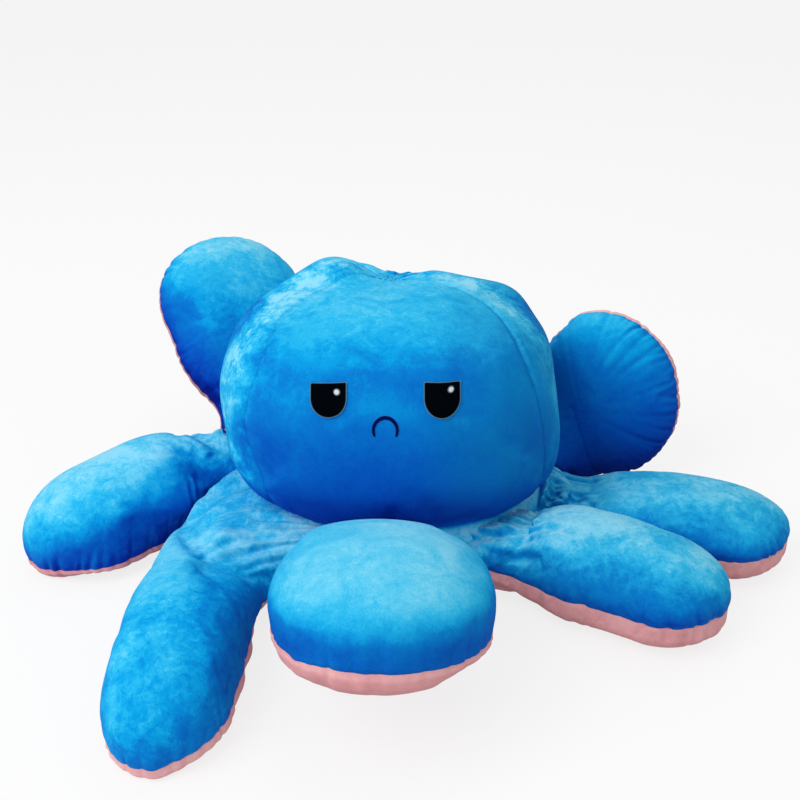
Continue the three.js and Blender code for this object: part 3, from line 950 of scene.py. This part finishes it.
        # painted light: paler where the surface faces up and a little to the left, and higher up
        lift = painted_light_by_facing(mesh, high / self.height, 0.5, -0.25, (-0.16, -0.06, 0.82))
        lift = lift + left * (0.25 + 0.75 * falling(high, 285 * MM, 60 * MM))
        lift = lift + right * (0.4 + 0.3 * falling(high, 290 * MM, 60 * MM))
        # painted shade: a darker band high on the face; painted light at the hem, lifting the shade under the head's
        # bulge
        lift = lift - self.painted_shade_band.at(high) * (1 - left) + 0.9 * falling(high, 108 * MM, 36 * MM)
        # painted light over the crown's dimple
        return blend_between(lift, 1.15, self.painted_light_crown.at(reach) * (high > 0.8 * self.height))


def painted_light_by_facing(mesh: Mesh, height_share: Array, height_light_gain: float, painted_light: float,
             painted_light_way: Triple) -> Array:
    """Painted light on the velvet: a base level, plus the normal along the way the light comes from, so faces turned
    up and towards the light turn pale, plus a gain by height, so higher parts turn paler.
    """
    return painted_light + normals_of(mesh) @ np.array(painted_light_way) + (height_share - 0.5) * height_light_gain


# Legs


@dataclass
class LegPattern:
    """The pattern that all eight legs share."""

    length: float = 300 * MM
    paddle: float = 90 * MM
    neck: float = 50 * MM
    neck_height: float = 28 * MM
    crown: float = 64 * MM
    belly: float = 38 * MM
    swell_share: float = 0.5
    twist_share: float = 0.55
    shoulder_share: float = 0.62
    tip_share: float = 1.05
    tip_power: float = 2.3
    crown_power: float = 0.85
    belly_power: float = 0.6
    web_overlap: float = 1.04
    web_power: float = 0.7
    web_depth: float = 7 * MM
    seam_groove: float = 1.4 * MM
    seam_width: float = 3.5 * MM
    floor_gap: float = 2.4 * MM
    fold_scale: float = 1.4
    root_crush: Bump = Bump(0.2, 25 * MM, 60 * MM)
    # painted light along the root, where the head shades the leg
    root_light_bump: Bump = Bump(1, 30 * MM, 90 * MM)


@dataclass
class Leg:
    """One stuffed leg: a blue top and a pink underside, sewn edge to edge and to the head's foot."""

    name: str
    heading: float
    pitch: float
    bend: float
    twist: float
    length_share: float
    paddle_share: float
    neck_share: float
    crown_share: float
    belly_share: float
    web: Pair
    root_top: float = 80 * MM
    root_sides: Pair = (52 * MM, 52 * MM)
    root_low: float = 14 * MM
    web_reaches: Pair = (40 * MM, 40 * MM)
    root_length: float = 80 * MM
    neck_lift: float = 9 * MM
    spare: float = 5 * MM
    shoulders: Pair = (0.0, 0.0)
    rim_lift: float = 0.0
    rim_tilt: float = 0.0
    gathers: int = 8
    gather_depth: float = 4 * MM
    folds: tuple[Fold, ...] = ()
    pucker_depth: float = 2.6 * MM
    pucker_reach: float = 24 * MM
    pucker_spacing: float = 17 * MM
    # Painted light and shade: gain by height, base level, the way the light comes from, painted light at the root and
    # painted grey shade; crush is the mottling of crushed pile.
    height_light_gain: float = 0.3
    painted_light: float = -0.14
    painted_light_way: Triple = (-0.42, -0.06, 0.82)
    root_painted_light: float = 0.0
    crush: float = 0.25
    worn: float = 0.0
    seed: int = 1
    pattern: LegPattern = field(default_factory=LegPattern)
    root_rows: int = 24
    body_rows: int = 26
    tip_rows: int = 24
    columns: int = 48

    def __post_init__(self) -> None:
        """Works out the leg's own sizes and finds its hinge in the frame."""
        spare = self.spare
        self.length = self.pattern.length * self.length_share + spare
        self.paddle = self.pattern.paddle * self.paddle_share + spare
        self.neck = self.pattern.neck * self.neck_share
        self.crown = self.pattern.crown * self.crown_share
        self.belly = self.pattern.belly * self.belly_share
        self.tip = self.paddle * self.pattern.tip_share
        self.straight = self.length - self.tip
        joint = next(j for j in frame["joints"] if j["name"] == f"leg_{self.name}_hinge")
        self.hinge = np.array(joint["pos_m"])

    def swell(self, along: Array) -> Array:
        """How far the neck has swollen to the paddle."""
        return smooth(along / (self.length * self.pattern.swell_share))

    def turned(self, along: Array, across: Array, up: Array) -> Array:
        """Points of the straight leg, twisted, bent sideways, raised and turned to its heading.

        Args:
            along: way from the hinge to the tip.
            across: way from the middle, positive to the leg's left.
            up: way from the seam's plane.

        Returns:
            The points in the frame.
        """
        turn = np.radians(self.twist) * smooth(along / (self.length * self.pattern.twist_share))
        side, rise = rotated(across, up, turn)
        forward = along
        if self.bend:
            radius = self.length / math.radians(self.bend)
            angle = np.maximum(along, 0) / radius
            forward = (radius - side) * np.sin(angle) + np.minimum(along, 0)
            side = radius - (radius - side) * np.cos(angle)
        level, height = rotated(forward, rise, math.radians(self.pitch))
        x, y = rotated(level, side, math.radians(self.heading - 90))
        return np.stack([x, y, height], axis=-1) + self.hinge

    def sheet(self, head: Head, upper: bool) -> dict[str, Array]:
        """One side of the leg as a grid, rows from the head to the tip, columns across.

        Body rows are half ellipses. Tip rows map a square's lines to a half disc, so the
        grid has no pole.

        Args:
            head: the head that the leg is sewn to.
            upper: True for the blue top.

        Returns:
            Grids of points and of marks.
        """
        q = sine_steps(-1, self.columns)
        root = np.arange(self.root_rows) / self.root_rows
        body = np.arange(self.body_rows) / self.body_rows
        rows = np.append(root * self.root_length, self.root_length + body * (self.straight - self.root_length))
        level = np.broadcast_to(rows[:, None], (len(rows), len(q)))
        tip_x, tip_y = disc_of(sine_steps(0, self.tip_rows)[:, None], q[None])
        px = np.concatenate([0 * level, tip_x])
        qy = np.concatenate([0 * level + q, tip_y])
        along = np.concatenate([level, self.straight + self.tip * tip_x])
        inset = np.sqrt(np.clip(1 - px**2 - qy**2, 0, 1))
        short = np.minimum(px, 0.9999)
        full = np.sqrt((1 - short**self.pattern.tip_power) / (1 - short**2))
        across = (self.neck + (self.paddle - self.neck) * self.swell(along)) * qy * full
        shoulder = np.interp(qy, [-1, 0, 1], [-self.shoulders[0], 0, self.shoulders[1]])
        across = across + shoulder * (1 - smooth(along / (self.length * self.pattern.shoulder_share)))
        if upper:
            thick, end, power = self.pattern.neck_height + self.neck_lift, self.crown, self.pattern.crown_power
        else:
            thick, end, power = -self.pattern.neck_height, -self.belly, self.pattern.belly_power
        thick = thick + (end - thick) * self.swell(along)
        up = thick * inset**power + (self.rim_lift + self.rim_tilt * qy) * (1 - inset)
        lead = np.concatenate([root, np.ones(self.body_rows + self.tip_rows + 1)])[:, None]
        points = blend_between(self.web_sheet(head, q, lead, upper), self.turned(along, across, up),
                               smooth(lead)[..., None])
        back = np.where(qy > 0, along, 2 * self.straight + np.pi * self.tip - along)
        run = np.where(px > 0, self.straight + self.tip * np.arctan2(px, qy), back)
        return {"points": points, "run": run, "away": np.abs(thick) * inset * 0.9, "along": along,
                "across": qy, "lead": lead + 0 * along, "upper": np.full(along.shape, float(upper))}

    def web_sheet(self, head: Head, q: Array, lead: Array, upper: bool) -> Array:
        """Where the root would go if it kept on straight out from the head's foot.

        A point starts on the head's wall in the leg's sector and goes out by its share of the
        web's reach. Across the sector its height falls from the middle to the sides as a
        flat bow.

        Args:
            head: the head.
            q: ways across, from -1 to 1.
            lead: shares of the root's length, one a row.
            upper: True for the blue top.

        Returns:
            A grid of points.
        """
        first, last = self.web
        azimuth = (first + last) / 2 + q * (last - first) / 2 * self.pattern.web_overlap
        bow = (1 - np.abs(q) ** 3) ** self.pattern.web_power
        rim = np.interp(q, [-1, 1], self.root_sides)
        height = rim + ((self.root_top if upper else self.root_low) - rim) * bow
        start = head.wall(azimuth, np.maximum(height, head.hem_height), self.pattern.web_depth)
        start[:, 2] = height
        reach = np.interp(q, [-1, 1], self.web_reaches)
        return start[None] + outward(azimuth)[None] * (lead * reach)[..., None]

    def build(self, head: Head, stuffing: Stuffing) -> list[Piece]:
        """Sews the two sides, stuffs them, adds folds and puckers, and cuts them apart.

        Args:
            head: the head that the leg is sewn to.
            stuffing: the simulation's settings.

        Returns:
            The top cover and the under cover.
        """
        upper, lower = self.sheet(head, True), self.sheet(head, False)
        shape = upper["along"].shape
        index = np.arange(upper["along"].size).reshape(shape)
        inner = np.zeros(shape, bool)
        inner[:-1, 1:-1] = True
        other = index.copy()
        other[inner] = index.size + np.arange(inner.sum())
        faces = np.concatenate([grid_quads(index), grid_quads(other, flipped=True)])
        points = np.concatenate([upper.pop("points").reshape(-1, 3), lower["points"][inner]])
        marks = {key: np.concatenate([upper[key].ravel(), lower[key][inner]]) for key in upper}
        skin = new_piece(f"skin_{self.name}", points, faces.tolist(), marks)
        number_panels(skin, np.repeat([0, 1], len(faces) // 2))
        sewn = bell(marks["away"], 8 * MM) * smooth(marks["lead"] * 2)
        stuffing.fill(skin, np.clip(1 - marks["lead"] * 1.6, 0, 1), sewn)
        refine(skin)
        self.dress_skin(skin.data)
        made = []
        for number, (side, finish) in enumerate((("top", BLUE_VELVET), ("under", PINK_VELVET))):
            piece = cut_out(skin, f"velvet_leg_{self.name}_{side}", number)
            thicken(piece, CLOTH_THICKNESS)
            WARDROBE.dress(piece, finish)
            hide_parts(f"leg_{self.name}_{side}_cover")
            self.hinge_cloth(piece)
            made.append(piece)
        bpy.data.objects.remove(skin)
        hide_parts(f"leg_{self.name}_filling")
        return made

    def hinge_cloth(self, piece: Piece) -> None:
        """Bends a cover between the head and the leg, from just inside the hinge to past the neck."""
        start, end = self.turned(np.array([-20 * MM, self.root_length * 0.85]), np.zeros(2), np.zeros(2))
        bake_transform(piece, "head", f"leg_{self.name}", start=start.tolist(), end=end.tolist())

    def dress_skin(self, mesh: Mesh) -> None:
        """Adds the gathers at the neck, the puckers along the seam and the seam's groove, and marks the painted light
        and shade that colour the velvet.

        Args:
            mesh: the stuffed skin.
        """
        points, normals = points_of(mesh), normals_of(mesh)
        run, away, along, across, lead, upper = (
            mark_of(mesh, name) for name in ("run", "away", "along", "across", "lead", "upper"))
        seam = 2 * self.straight + math.pi * self.tip
        free = smooth(lead * 2.2)
        out = free * puckers(run, away, seam, self.pucker_spacing, self.pucker_depth, self.pucker_reach, self.seed)
        out = out - free * self.pattern.seam_groove * bell(away, self.pattern.seam_width)
        top, side = upper > 0.25, across * self.neck * self.pattern.fold_scale
        for ridge in self.folds:
            out[top] += ridge.rise(along[top], side[top])
        for ridge in self.random_gathers():
            out += ridge.rise(along, side)
        moved = points + normals * out[:, None]
        moved[:, 2] = np.maximum(moved[:, 2], self.pattern.floor_gap)
        move_points(mesh, moved)
        high = moved[:, 2]
        # painted light: paler where facing the light, higher up and at the root; painted grey shade as set for the leg
        lift = painted_light_by_facing(mesh, (high - high.min()) / np.ptp(high), self.height_light_gain, self.painted_light, self.painted_light_way)
        set_marks(mesh, lift=eased(lift + self.root_painted_light * self.pattern.root_light_bump.at(along)),
                  crushed=np.clip(self.crush + self.pattern.root_crush.at(along), 0, 1),
                  worn=np.full(len(lift), self.worn))

    def random_gathers(self) -> list[Fold]:
        """Valleys that run out from the root, placed by the leg's seed."""
        dice = np.random.default_rng(self.seed)
        scale, made = self.neck * self.pattern.fold_scale, []
        for number in range(self.gathers):
            place = (number + dice.uniform(0.2, 0.8)) / self.gathers * 2 - 1
            start, reach = dice.uniform(-4, 14) * MM, dice.uniform(35, 85) * MM
            drift = dice.uniform(-0.16, 0.16)
            path = ((start, place * scale), (start + reach / 2, (place * 0.97 + drift / 2) * scale),
                    (start + reach, (place * 0.9 + drift) * scale))
            made.append(Fold(path, -self.gather_depth * dice.uniform(0.4, 1.0), dice.uniform(3, 6) * MM))
        return made


def fold(depth: float, width: float, *path: Pair) -> Fold:
    """A fold from numbers in millimetres: its depth, its width and its places along and across."""
    return Fold(tuple((along * MM, across * MM) for along, across in path), depth * MM, width * MM)


# Name; heading, pitch, bend and twist in degrees; shares of the pattern's length, paddle, neck, crown and
# belly; first and last azimuth on the head; then what differs from the usual leg.
# The painted-light numbers set each leg's painted light and shade; the legs on the right carry painted grey shade.
LEGS = [
    Leg("front", -1.5, 17, 6, -2, 0.976, 1.235, 1.12, 1.19, 1.16, (-13, 19),
        root_top=78 * MM, root_low=26 * MM, web_reaches=(20 * MM, 20 * MM), gathers=3, gather_depth=2 * MM,
        rim_lift=-6 * MM, painted_light=-0.22, height_light_gain=1.2, painted_light_way=(-0.1, 0.4, 0.88), root_painted_light=0.38, crush=0.1, worn=0.25, seed=3,
        pattern=LegPattern(crown_power=0.54, belly_power=0.95, tip_power=2.2)),
    Leg("front_right", 74, 0.7, -22, 0, 0.868, 0.79, 1, 1.04, 1.03, (26, 66),
        root_top=80 * MM, root_length=62 * MM, neck_lift=26 * MM, web_reaches=(26 * MM, 26 * MM),
        shoulders=(6 * MM, 0.0), rim_lift=9 * MM, painted_light=0.12, height_light_gain=0.5, painted_light_way=(0.22, 0.46, 0.62),
        root_painted_light=0.2, crush=0.45, worn=0.45, seed=5,
        pattern=LegPattern(belly_power=0.38, swell_share=0.4),
        folds=(fold(-5, 5, (8, -58), (26, -34), (40, -18)), fold(-4, 5, (4, -8), (30, -2), (52, 14)),
               fold(3.5, 7, (14, -70), (36, -52), (60, -40)))),
    Leg("right", 78.5, 0, -20, 0, 1.02, 0.83, 0.92, 0.78, 1, (67, 106),
        root_top=68 * MM, root_length=70 * MM, neck_lift=-4 * MM, web_reaches=(24 * MM, 24 * MM),
        rim_lift=9 * MM, painted_light=-0.02, height_light_gain=0.5, painted_light_way=(0.16, 0.5, 0.62), crush=0.45, worn=0.55, seed=8,
        pattern=LegPattern(belly_power=0.42, swell_share=0.68),
        folds=(fold(-5, 5, (6, -60), (14, -20), (12, 16)), fold(4, 6, (16, -64), (25, -22), (24, 12)),
               fold(-5, 5, (25, -60), (36, -20), (36, 10)), fold(4, 6, (38, -56), (47, -20), (46, 6)),
               fold(-4, 5, (50, -54), (58, -24), (58, 0)), fold(-3, 5, (74, -56), (78, -30)))),
    Leg("back_right", 104.5, 20, -55, 76, 0.883, 1.315, 0.92, 0.86, 1.0, (104, 152),
        root_top=76 * MM, neck_lift=-6 * MM, root_sides=(50 * MM, 60 * MM), root_low=30 * MM,
        web_reaches=(40 * MM, 26 * MM), shoulders=(50 * MM, -12 * MM), root_length=60 * MM, pucker_reach=56 * MM,
        pucker_spacing=11 * MM, gathers=0, painted_light=-0.32, height_light_gain=0.6, crush=0.05, seed=9,
        pattern=LegPattern(belly_power=1.1, swell_share=0.62)),
    Leg("back", 178, 0, 0, 0, 1, 1, 1, 1, 1, (158, 199), crush=0.3, seed=12),
    Leg("back_left", -140.5, 42, 0, 0, 0.995, 1.255, 1.0, 0.78, 1.0, (203, 268),
        root_top=108 * MM, root_sides=(60 * MM, 128 * MM), root_low=30 * MM, web_reaches=(20 * MM, 78 * MM),
        shoulders=(0.0, 46 * MM), root_length=60 * MM, pucker_depth=3 * MM, pucker_reach=30 * MM,
        painted_light=-0.88, height_light_gain=2.6, painted_light_way=(0.34, -0.06, 0.82), crush=0.3, seed=14, pattern=LegPattern(belly_power=1.1)),
    Leg("left", -76, 0, 48, 0, 0.93, 0.885, 1, 1.26, 1, (243, 270),
        root_top=110 * MM, root_sides=(60 * MM, 66 * MM), neck_lift=36 * MM, web_reaches=(34 * MM, 34 * MM),
        rim_lift=-17 * MM, gathers=2, gather_depth=1.5 * MM, painted_light=0.1, height_light_gain=1.25, painted_light_way=(-0.65, 0.06, 0.65),
        crush=0.35, seed=16, pattern=LegPattern(belly_power=0.86),
        folds=(fold(-3, 4, (74, 54), (80, 66), (76, 80)), fold(-3, 4, (90, 56), (94, 74)),
               fold(-3, 5, (4, -22), (30, -28), (60, -30)))),
    Leg("front_left", -22.5, 0, 34, 0, 1.16, 0.735, 1.04, 1.03, 1, (271, 352),
        root_top=86 * MM, root_sides=(88 * MM, 52 * MM), web_reaches=(112 * MM, 28 * MM), root_length=130 * MM,
        shoulders=(26 * MM, 0.0), rim_lift=-14 * MM, rim_tilt=9 * MM, gathers=3, gather_depth=2 * MM, painted_light=0.22,
        height_light_gain=0.1, painted_light_way=(-0.26, -0.04, 0.42), root_painted_light=0.55, crush=0.4, seed=21, pattern=LegPattern(swell_share=0.62),
        folds=(fold(-5, 5, (16, 66), (44, 40), (92, 6), (130, -8)), fold(-4, 5, (30, 70), (64, 46), (110, 20)),
               fold(-3.5, 4, (3, 44), (20, 18), (52, -16)), fold(-3.5, 4, (60, 70), (88, 56), (118, 44)),
               fold(3, 8, (2, -62), (46, -66), (104, -66)), fold(-3.5, 5, (4, -20), (46, -26), (90, -34)),
               fold(-3.5, 5, (4, -44), (42, -50), (78, -54)), fold(-3, 4, (10, 10), (50, -4), (100, -20)))),
]


# Underside


@dataclass
class Underside:
    """The pink foot ring round the pocket's mouth, and the pocket's lining."""

    pocket_height: float = 190 * MM
    pocket_shares: Pairs = ((0.5, 0.0), (0.5, 0.6), (0.4, 0.86), (0.21, 0.98), (0.0, 1.0))
    foot_shares: Pairs = ((0.514, 0.0), (0.72, 0.0), (0.79, 0.16), (0.82, 0.55), (0.82, 1.0))
    closed_share: float = 0.004
    mouth_radius: float = 95 * MM
    gather_radius: float = 100 * MM
    gather_width: float = 22 * MM
    rounding_passes: int = 6
    columns: int = 192

    def revolve(self, head: Head, name: str, shares: Array, heights: Array, flipped: bool) -> Piece:
        """A skin round the head's axis, through a profile of half-width shares and heights.

        Args:
            head: gives the plan.
            name: the piece's name.
            shares: of the half width, one a row.
            heights: in metres, one a row.
            flipped: which way its faces point.

        Returns:
            The skin.
        """
        azimuths = np.arange(self.columns) * 360 / self.columns
        flat = head.plan(azimuths)[None] * shares[:, None, None]
        tall = np.broadcast_to(heights[:, None, None], (*flat.shape[:2], 1))
        points = np.concatenate([flat, tall], axis=-1) + head.centre()
        index = np.arange(points.shape[0] * self.columns).reshape(points.shape[:2])
        ring = np.concatenate([index, index[:, :1]], axis=1)
        return new_piece(name, points, grid_quads(ring, flipped).tolist())

    def path(self, shares: tuple, height: float, count: int) -> tuple[Array, Array]:
        """Even steps along a broken line of shares, rounded by a moving average.

        Args:
            shares: of the half width and of the height, at its corners.
            height: the whole height.
            count: how many steps.

        Returns:
            Shares of the half width, and heights in metres.
        """
        knots = np.array(shares) * np.array([1.0, height])
        run = np.append(0, np.cumsum(np.linalg.norm(np.diff(knots * [0.2, 1], axis=0), axis=1)))
        even = np.linspace(0, run[-1], count)
        curve = np.stack([np.interp(even, run, knots[:, axis]) for axis in range(2)])
        for _ in range(self.rounding_passes):
            curve[:, 1:-1] = (curve[:, :-2] + 2 * curve[:, 1:-1] + curve[:, 2:]) / 4
        return curve[0], curve[1]

    def build(self, head: Head) -> list[Piece]:
        """Makes the ring and the lining, with gathers where they are sewn together.

        Args:
            head: gives the plan and the sizes.

        Returns:
            The two pieces.
        """
        shares, heights = self.path(self.foot_shares, head.hem_height, 40)
        ring = self.revolve(head, "velvet_foot_ring", shares, heights, True)
        shares, heights = self.path(self.pocket_shares, self.pocket_height, 60)
        shares[-1] = self.closed_share
        lining = self.revolve(head, "velvet_pocket", shares, heights, False)
        for piece, node in ((ring, "foot_ring"), (lining, "pocket_lining")):
            points, normals = points_of(piece.data), normals_of(piece.data)
            across, deep, high = (points - head.centre()).T
            mouth = bell(np.abs(np.hypot(across, deep) - self.mouth_radius) + high, self.gather_width)
            run = (np.arctan2(deep, across) + np.pi) * self.gather_radius
            folds = puckers(run, high * 1.2, 2 * np.pi * self.gather_radius, 18 * MM, 2 * MM, 30 * MM, 31)
            out = folds * mouth if node == "foot_ring" else folds
            moved = points + normals * out[:, None]
            moved[:, 2] = np.maximum(moved[:, 2], 0.0)
            move_points(piece.data, moved)
            # painted light: faces turned up are paler
            set_marks(piece.data, lift=normals_of(piece.data)[:, 2] * 0.3, crushed=np.full(len(points), 0.3))
            thicken(piece, CLOTH_THICKNESS)
            WARDROBE.dress(piece, PINK_VELVET)
            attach(piece, "head")
            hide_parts(node)
        return [ring, lining]


# Face


@dataclass
class Face:
    """Two flat-topped eyes with a glint each, and a mouth of one stitched arc, laid on the front panel."""

    eye_width: float = 39 * MM
    eye_height: float = 32.6 * MM
    eye_top: float = 271 * MM
    eye_spacing: float = 120 * MM
    straight_share: float = 0.42
    eye_columns: int = 32
    glint_radius: float = 3.1 * MM
    glint_flatness: float = 0.84
    glint_side: float = 9 * MM
    glint_drop: float = 6.5 * MM
    glint_lift: float = 1.5 * MM
    mouth_radius: float = 14.8 * MM
    mouth_thread: float = 4.3 * MM
    mouth_drop: float = 41.2 * MM
    mouth_sweep: float = 245.0
    mouth_taper: float = 0.35
    end_power: int = 24
    eye_slope: Pair = (0.1, 0.075)
    eye_rise: Pair = (0.2 * MM, 1.4 * MM)
    lift: float = 0.2 * MM
    thickness: float = 1.2 * MM

    def lay(self, name: str, grid: tuple[Array, Array, Array], head: Head, panel: Piece,
            lift: float) -> Piece:
        """Lays a flat grid on the panel, puffed in its middle, and gives it a thickness.

        Args:
            name: the piece's name.
            grid: places across from the head's axis, heights, and 0 in the middle to 1 on the rim.
            head: gives the axis.
            panel: the panel that carries it.
            lift: how far it stands off the panel.

        Returns:
            The piece.
        """
        x, z, rim = grid
        front = np.full(x.shape, head.axis.y - head.half_depth - 30 * MM)
        points = np.stack([x + head.axis.x, front, z], axis=-1)
        index = np.arange(x.size).reshape(x.shape)
        piece = new_piece(name, points, grid_quads(index, flipped=True).tolist(), {"rim": rim})
        wrap = piece.modifiers.new("lay", "SHRINKWRAP")
        wrap.wrap_method = "PROJECT"
        wrap.use_project_y = True
        wrap.use_negative_direction = False
        wrap.use_positive_direction = True
        wrap.target = panel
        settle(piece)
        points = points_of(piece.data)
        points[:, 1] -= lift + self.thickness * (1 - 0.6 * mark_of(piece.data, "rim") ** 4)
        move_points(piece.data, points)
        thicken(piece, self.thickness)
        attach(piece, "head")
        return piece

    def half_disc(self, middle: float) -> tuple[Array, Array, Array]:
        """Grid of an eye: straight rows, then rows that map a square to a half disc.

        Args:
            middle: the eye's place across.

        Returns:
            Places across, heights, and the rim's nearness.
        """
        q = sine_steps(-1, self.eye_columns)
        half, straight = self.eye_width / 2, self.eye_height * self.straight_share
        rows = np.linspace(0, straight, 13)[:-1, None] + 0 * q
        round_x, round_y = disc_of(sine_steps(0, 16)[:, None], q[None])
        across = np.concatenate([0 * rows + q, round_y])
        down = np.concatenate([rows, straight + (self.eye_height - straight) * round_x])
        low = np.clip((down - straight) / (self.eye_height - straight), 0, 1)
        rim = np.maximum(np.hypot(across, low), 1 - down / (half * 0.55))
        number = int(middle > 0)
        slope = self.eye_slope[number] * across * half * np.sign(middle)
        return middle + across * half, self.eye_top + self.eye_rise[number] - down - slope, np.clip(rim, 0, 1)

    def disc(self, x: float, z: float) -> tuple[Array, Array, Array]:
        """Grid of a glint, a little flattened: a square's lines mapped to a circle."""
        even = sine_steps(-1, 16)
        down, across = disc_of(even[:, None], even[None])
        return (x + across * self.glint_radius, z - down * self.glint_radius * self.glint_flatness,
                np.hypot(across, down))

    def arc(self) -> tuple[Array, Array, Array]:
        """Grid of the mouth: rows round its arc, columns across its thread, with round tapered ends.

        Returns:
            Places across, heights, and the rim's nearness.
        """
        way, side = np.linspace(-1, 1, 49)[:, None], np.linspace(-1, 1, 9)[None]
        angle = np.radians(90 - self.mouth_sweep / 2 * way)
        taper = 1 - self.mouth_taper * np.abs(way) ** 3
        width = self.mouth_thread / 2 * np.sqrt(np.clip(1.03 - way**self.end_power, 0, 1)) * taper
        radius = self.mouth_radius - self.mouth_thread / 2 + width * side
        height = self.eye_top - self.mouth_drop
        return (-radius * np.cos(angle), height + radius * np.sin(angle),
                np.maximum(np.abs(side), np.abs(way) ** self.end_power))

    def build(self, head: Head, panel: Piece) -> list[Piece]:
        """Makes the eyes, their glints and the mouth.

        Args:
            head: gives the axis.
            panel: the front panel.

        Returns:
            The five pieces.
        """
        made = []
        for side, sign in (("left", -1), ("right", 1)):
            middle = sign * self.eye_spacing / 2
            eye = self.lay(f"stitched_eye_{side}", self.half_disc(middle), head, panel, self.lift)
            WARDROBE.dress(eye, EYE_STITCH)
            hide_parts(f"eye_{side}")
            top = self.eye_top + self.eye_rise[int(sign > 0)]
            spot = self.disc(middle + self.glint_side, top - self.glint_drop)
            glint = self.lay(f"stitched_glint_{side}", spot, head, panel, self.glint_lift)
            WARDROBE.dress(glint, GLINT_STITCH)
            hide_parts(f"eye_glint_{side}")
            made += [eye, glint]
        mouth = self.lay("stitched_mouth", self.arc(), head, panel, self.lift)
        WARDROBE.dress(mouth, MOUTH_STITCH)
        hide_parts("mouth_stitching")
        return [*made, mouth]


# Studio


@dataclass
class Studio:
    """Pale floor, plain soft light and the camera at the photograph's angle."""

    elevation: float = 28.3
    distance: float = 1303.4 * MM
    target: Triple = (15.5 * MM, 0.0, 172.6 * MM)
    lens: float = 48.07
    sensor: float = 36.0
    floor_half: float = 7.0
    floor_drop: float = 0.2 * MM
    floor_colour: tuple[float, ...] = (0.88, 0.88, 0.88, 1)
    floor_glow: float = 0.8
    world_light: float = 0.55
    lamp_aim: Vector = field(default_factory=lambda: Vector((0, 0, 0.1)))

    def add(self, name: str, data: bpy.types.ID, place: Vector, way: Vector) -> Piece:
        """Adds a camera or a lamp at a place, looking one way.

        Args:
            name: the object's name.
            data: its camera or light.
            place: where it stands.
            way: where it looks.

        Returns:
            The object.
        """
        made = bpy.data.objects.new(name, data)
        made.location = place
        made.rotation_euler = way.to_track_quat("-Z", "Y").to_euler()
        bpy.context.scene.collection.objects.link(made)
        return made

    def camera(self, head: Head) -> None:
        """Places the camera and makes it the scene's."""
        rise = math.radians(self.elevation)
        target = Vector(self.target) + Vector((head.axis.x, head.axis.y, 0))
        back = Vector((0, -math.cos(rise), math.sin(rise)))
        data = bpy.data.cameras.new("camera")
        data.lens, data.sensor_width = self.lens, self.sensor
        bpy.context.scene.camera = self.add("camera", data, target + back * self.distance, -back)

    def lamp(self, name: str, place: tuple, size: float, power: float) -> None:
        """A square area lamp that looks at the toy."""
        data = bpy.data.lights.new(name, "AREA")
        data.size, data.energy = size, power
        self.add(name, data, Vector(place), self.lamp_aim - Vector(place))

    def floor(self) -> None:
        """A pale floor that looks white to the camera and keeps the toy's shadow."""
        corners = np.array([[-1, -1, 0], [1, -1, 0], [1, 1, 0], [-1, 1, 0]]) * self.floor_half
        floor = new_piece("floor", corners - [0, 0, self.floor_drop], [[0, 1, 2, 3]])
        paint = Paint(bpy.data.materials.new("floor"))
        seen = paint.node("ShaderNodeLightPath", result="Is Camera Ray")
        matte = paint.node("ShaderNodeBsdfDiffuse", None, {"Color": self.floor_colour}, "BSDF")
        glow = paint.node("ShaderNodeEmission", None, {"Color": (1, 1, 1, 1), "Strength": 1.0}, "Emission")
        mixed = paint.node("ShaderNodeMixShader", None, {"Fac": seen * self.floor_glow, 1: matte, 2: glow})
        paint.node("ShaderNodeOutputMaterial", None, {"Surface": mixed})
        floor.data.materials.append(paint.owner)

    def world(self) -> None:
        """A white backdrop for the camera over a softer white light."""
        paint = Paint(bpy.data.worlds.new("studio"))
        plain, white = (paint.node("ShaderNodeBackground", None, {"Color": (1, 1, 1, 1), "Strength": strength})
                        for strength in (self.world_light, 1.0))
        seen = paint.node("ShaderNodeLightPath", result="Is Camera Ray")
        mixed = paint.node("ShaderNodeMixShader", None, {0: seen, 1: plain, 2: white})
        paint.node("ShaderNodeOutputWorld", None, {0: mixed})
        bpy.context.scene.world = paint.owner

    def build(self, head: Head) -> None:
        """Sets the camera, the lamps, the floor and the backdrop."""
        self.camera(head)
        self.floor()
        self.world()
        self.lamp("key", (-1.5, -1.3, 2.2), 1.8, 40)
        self.lamp("top", (0.3, 0.6, 2.8), 2.4, 12)
        bpy.context.scene.view_settings.view_transform = "Standard"


def main() -> None:
    """Builds the toy piece by piece."""
    head = Head()
    Studio().build(head)
    panels = head.build(Stuffing(cap=6 * MM))
    made = panels + Underside().build(head) + Face().build(head, panels[3])
    for leg in LEGS:
        made += leg.build(head, Stuffing())
    for piece in made:
        log.info("%s has %d faces", piece.name, len(piece.data.polygons))


if __name__ == "__main__":
    main()
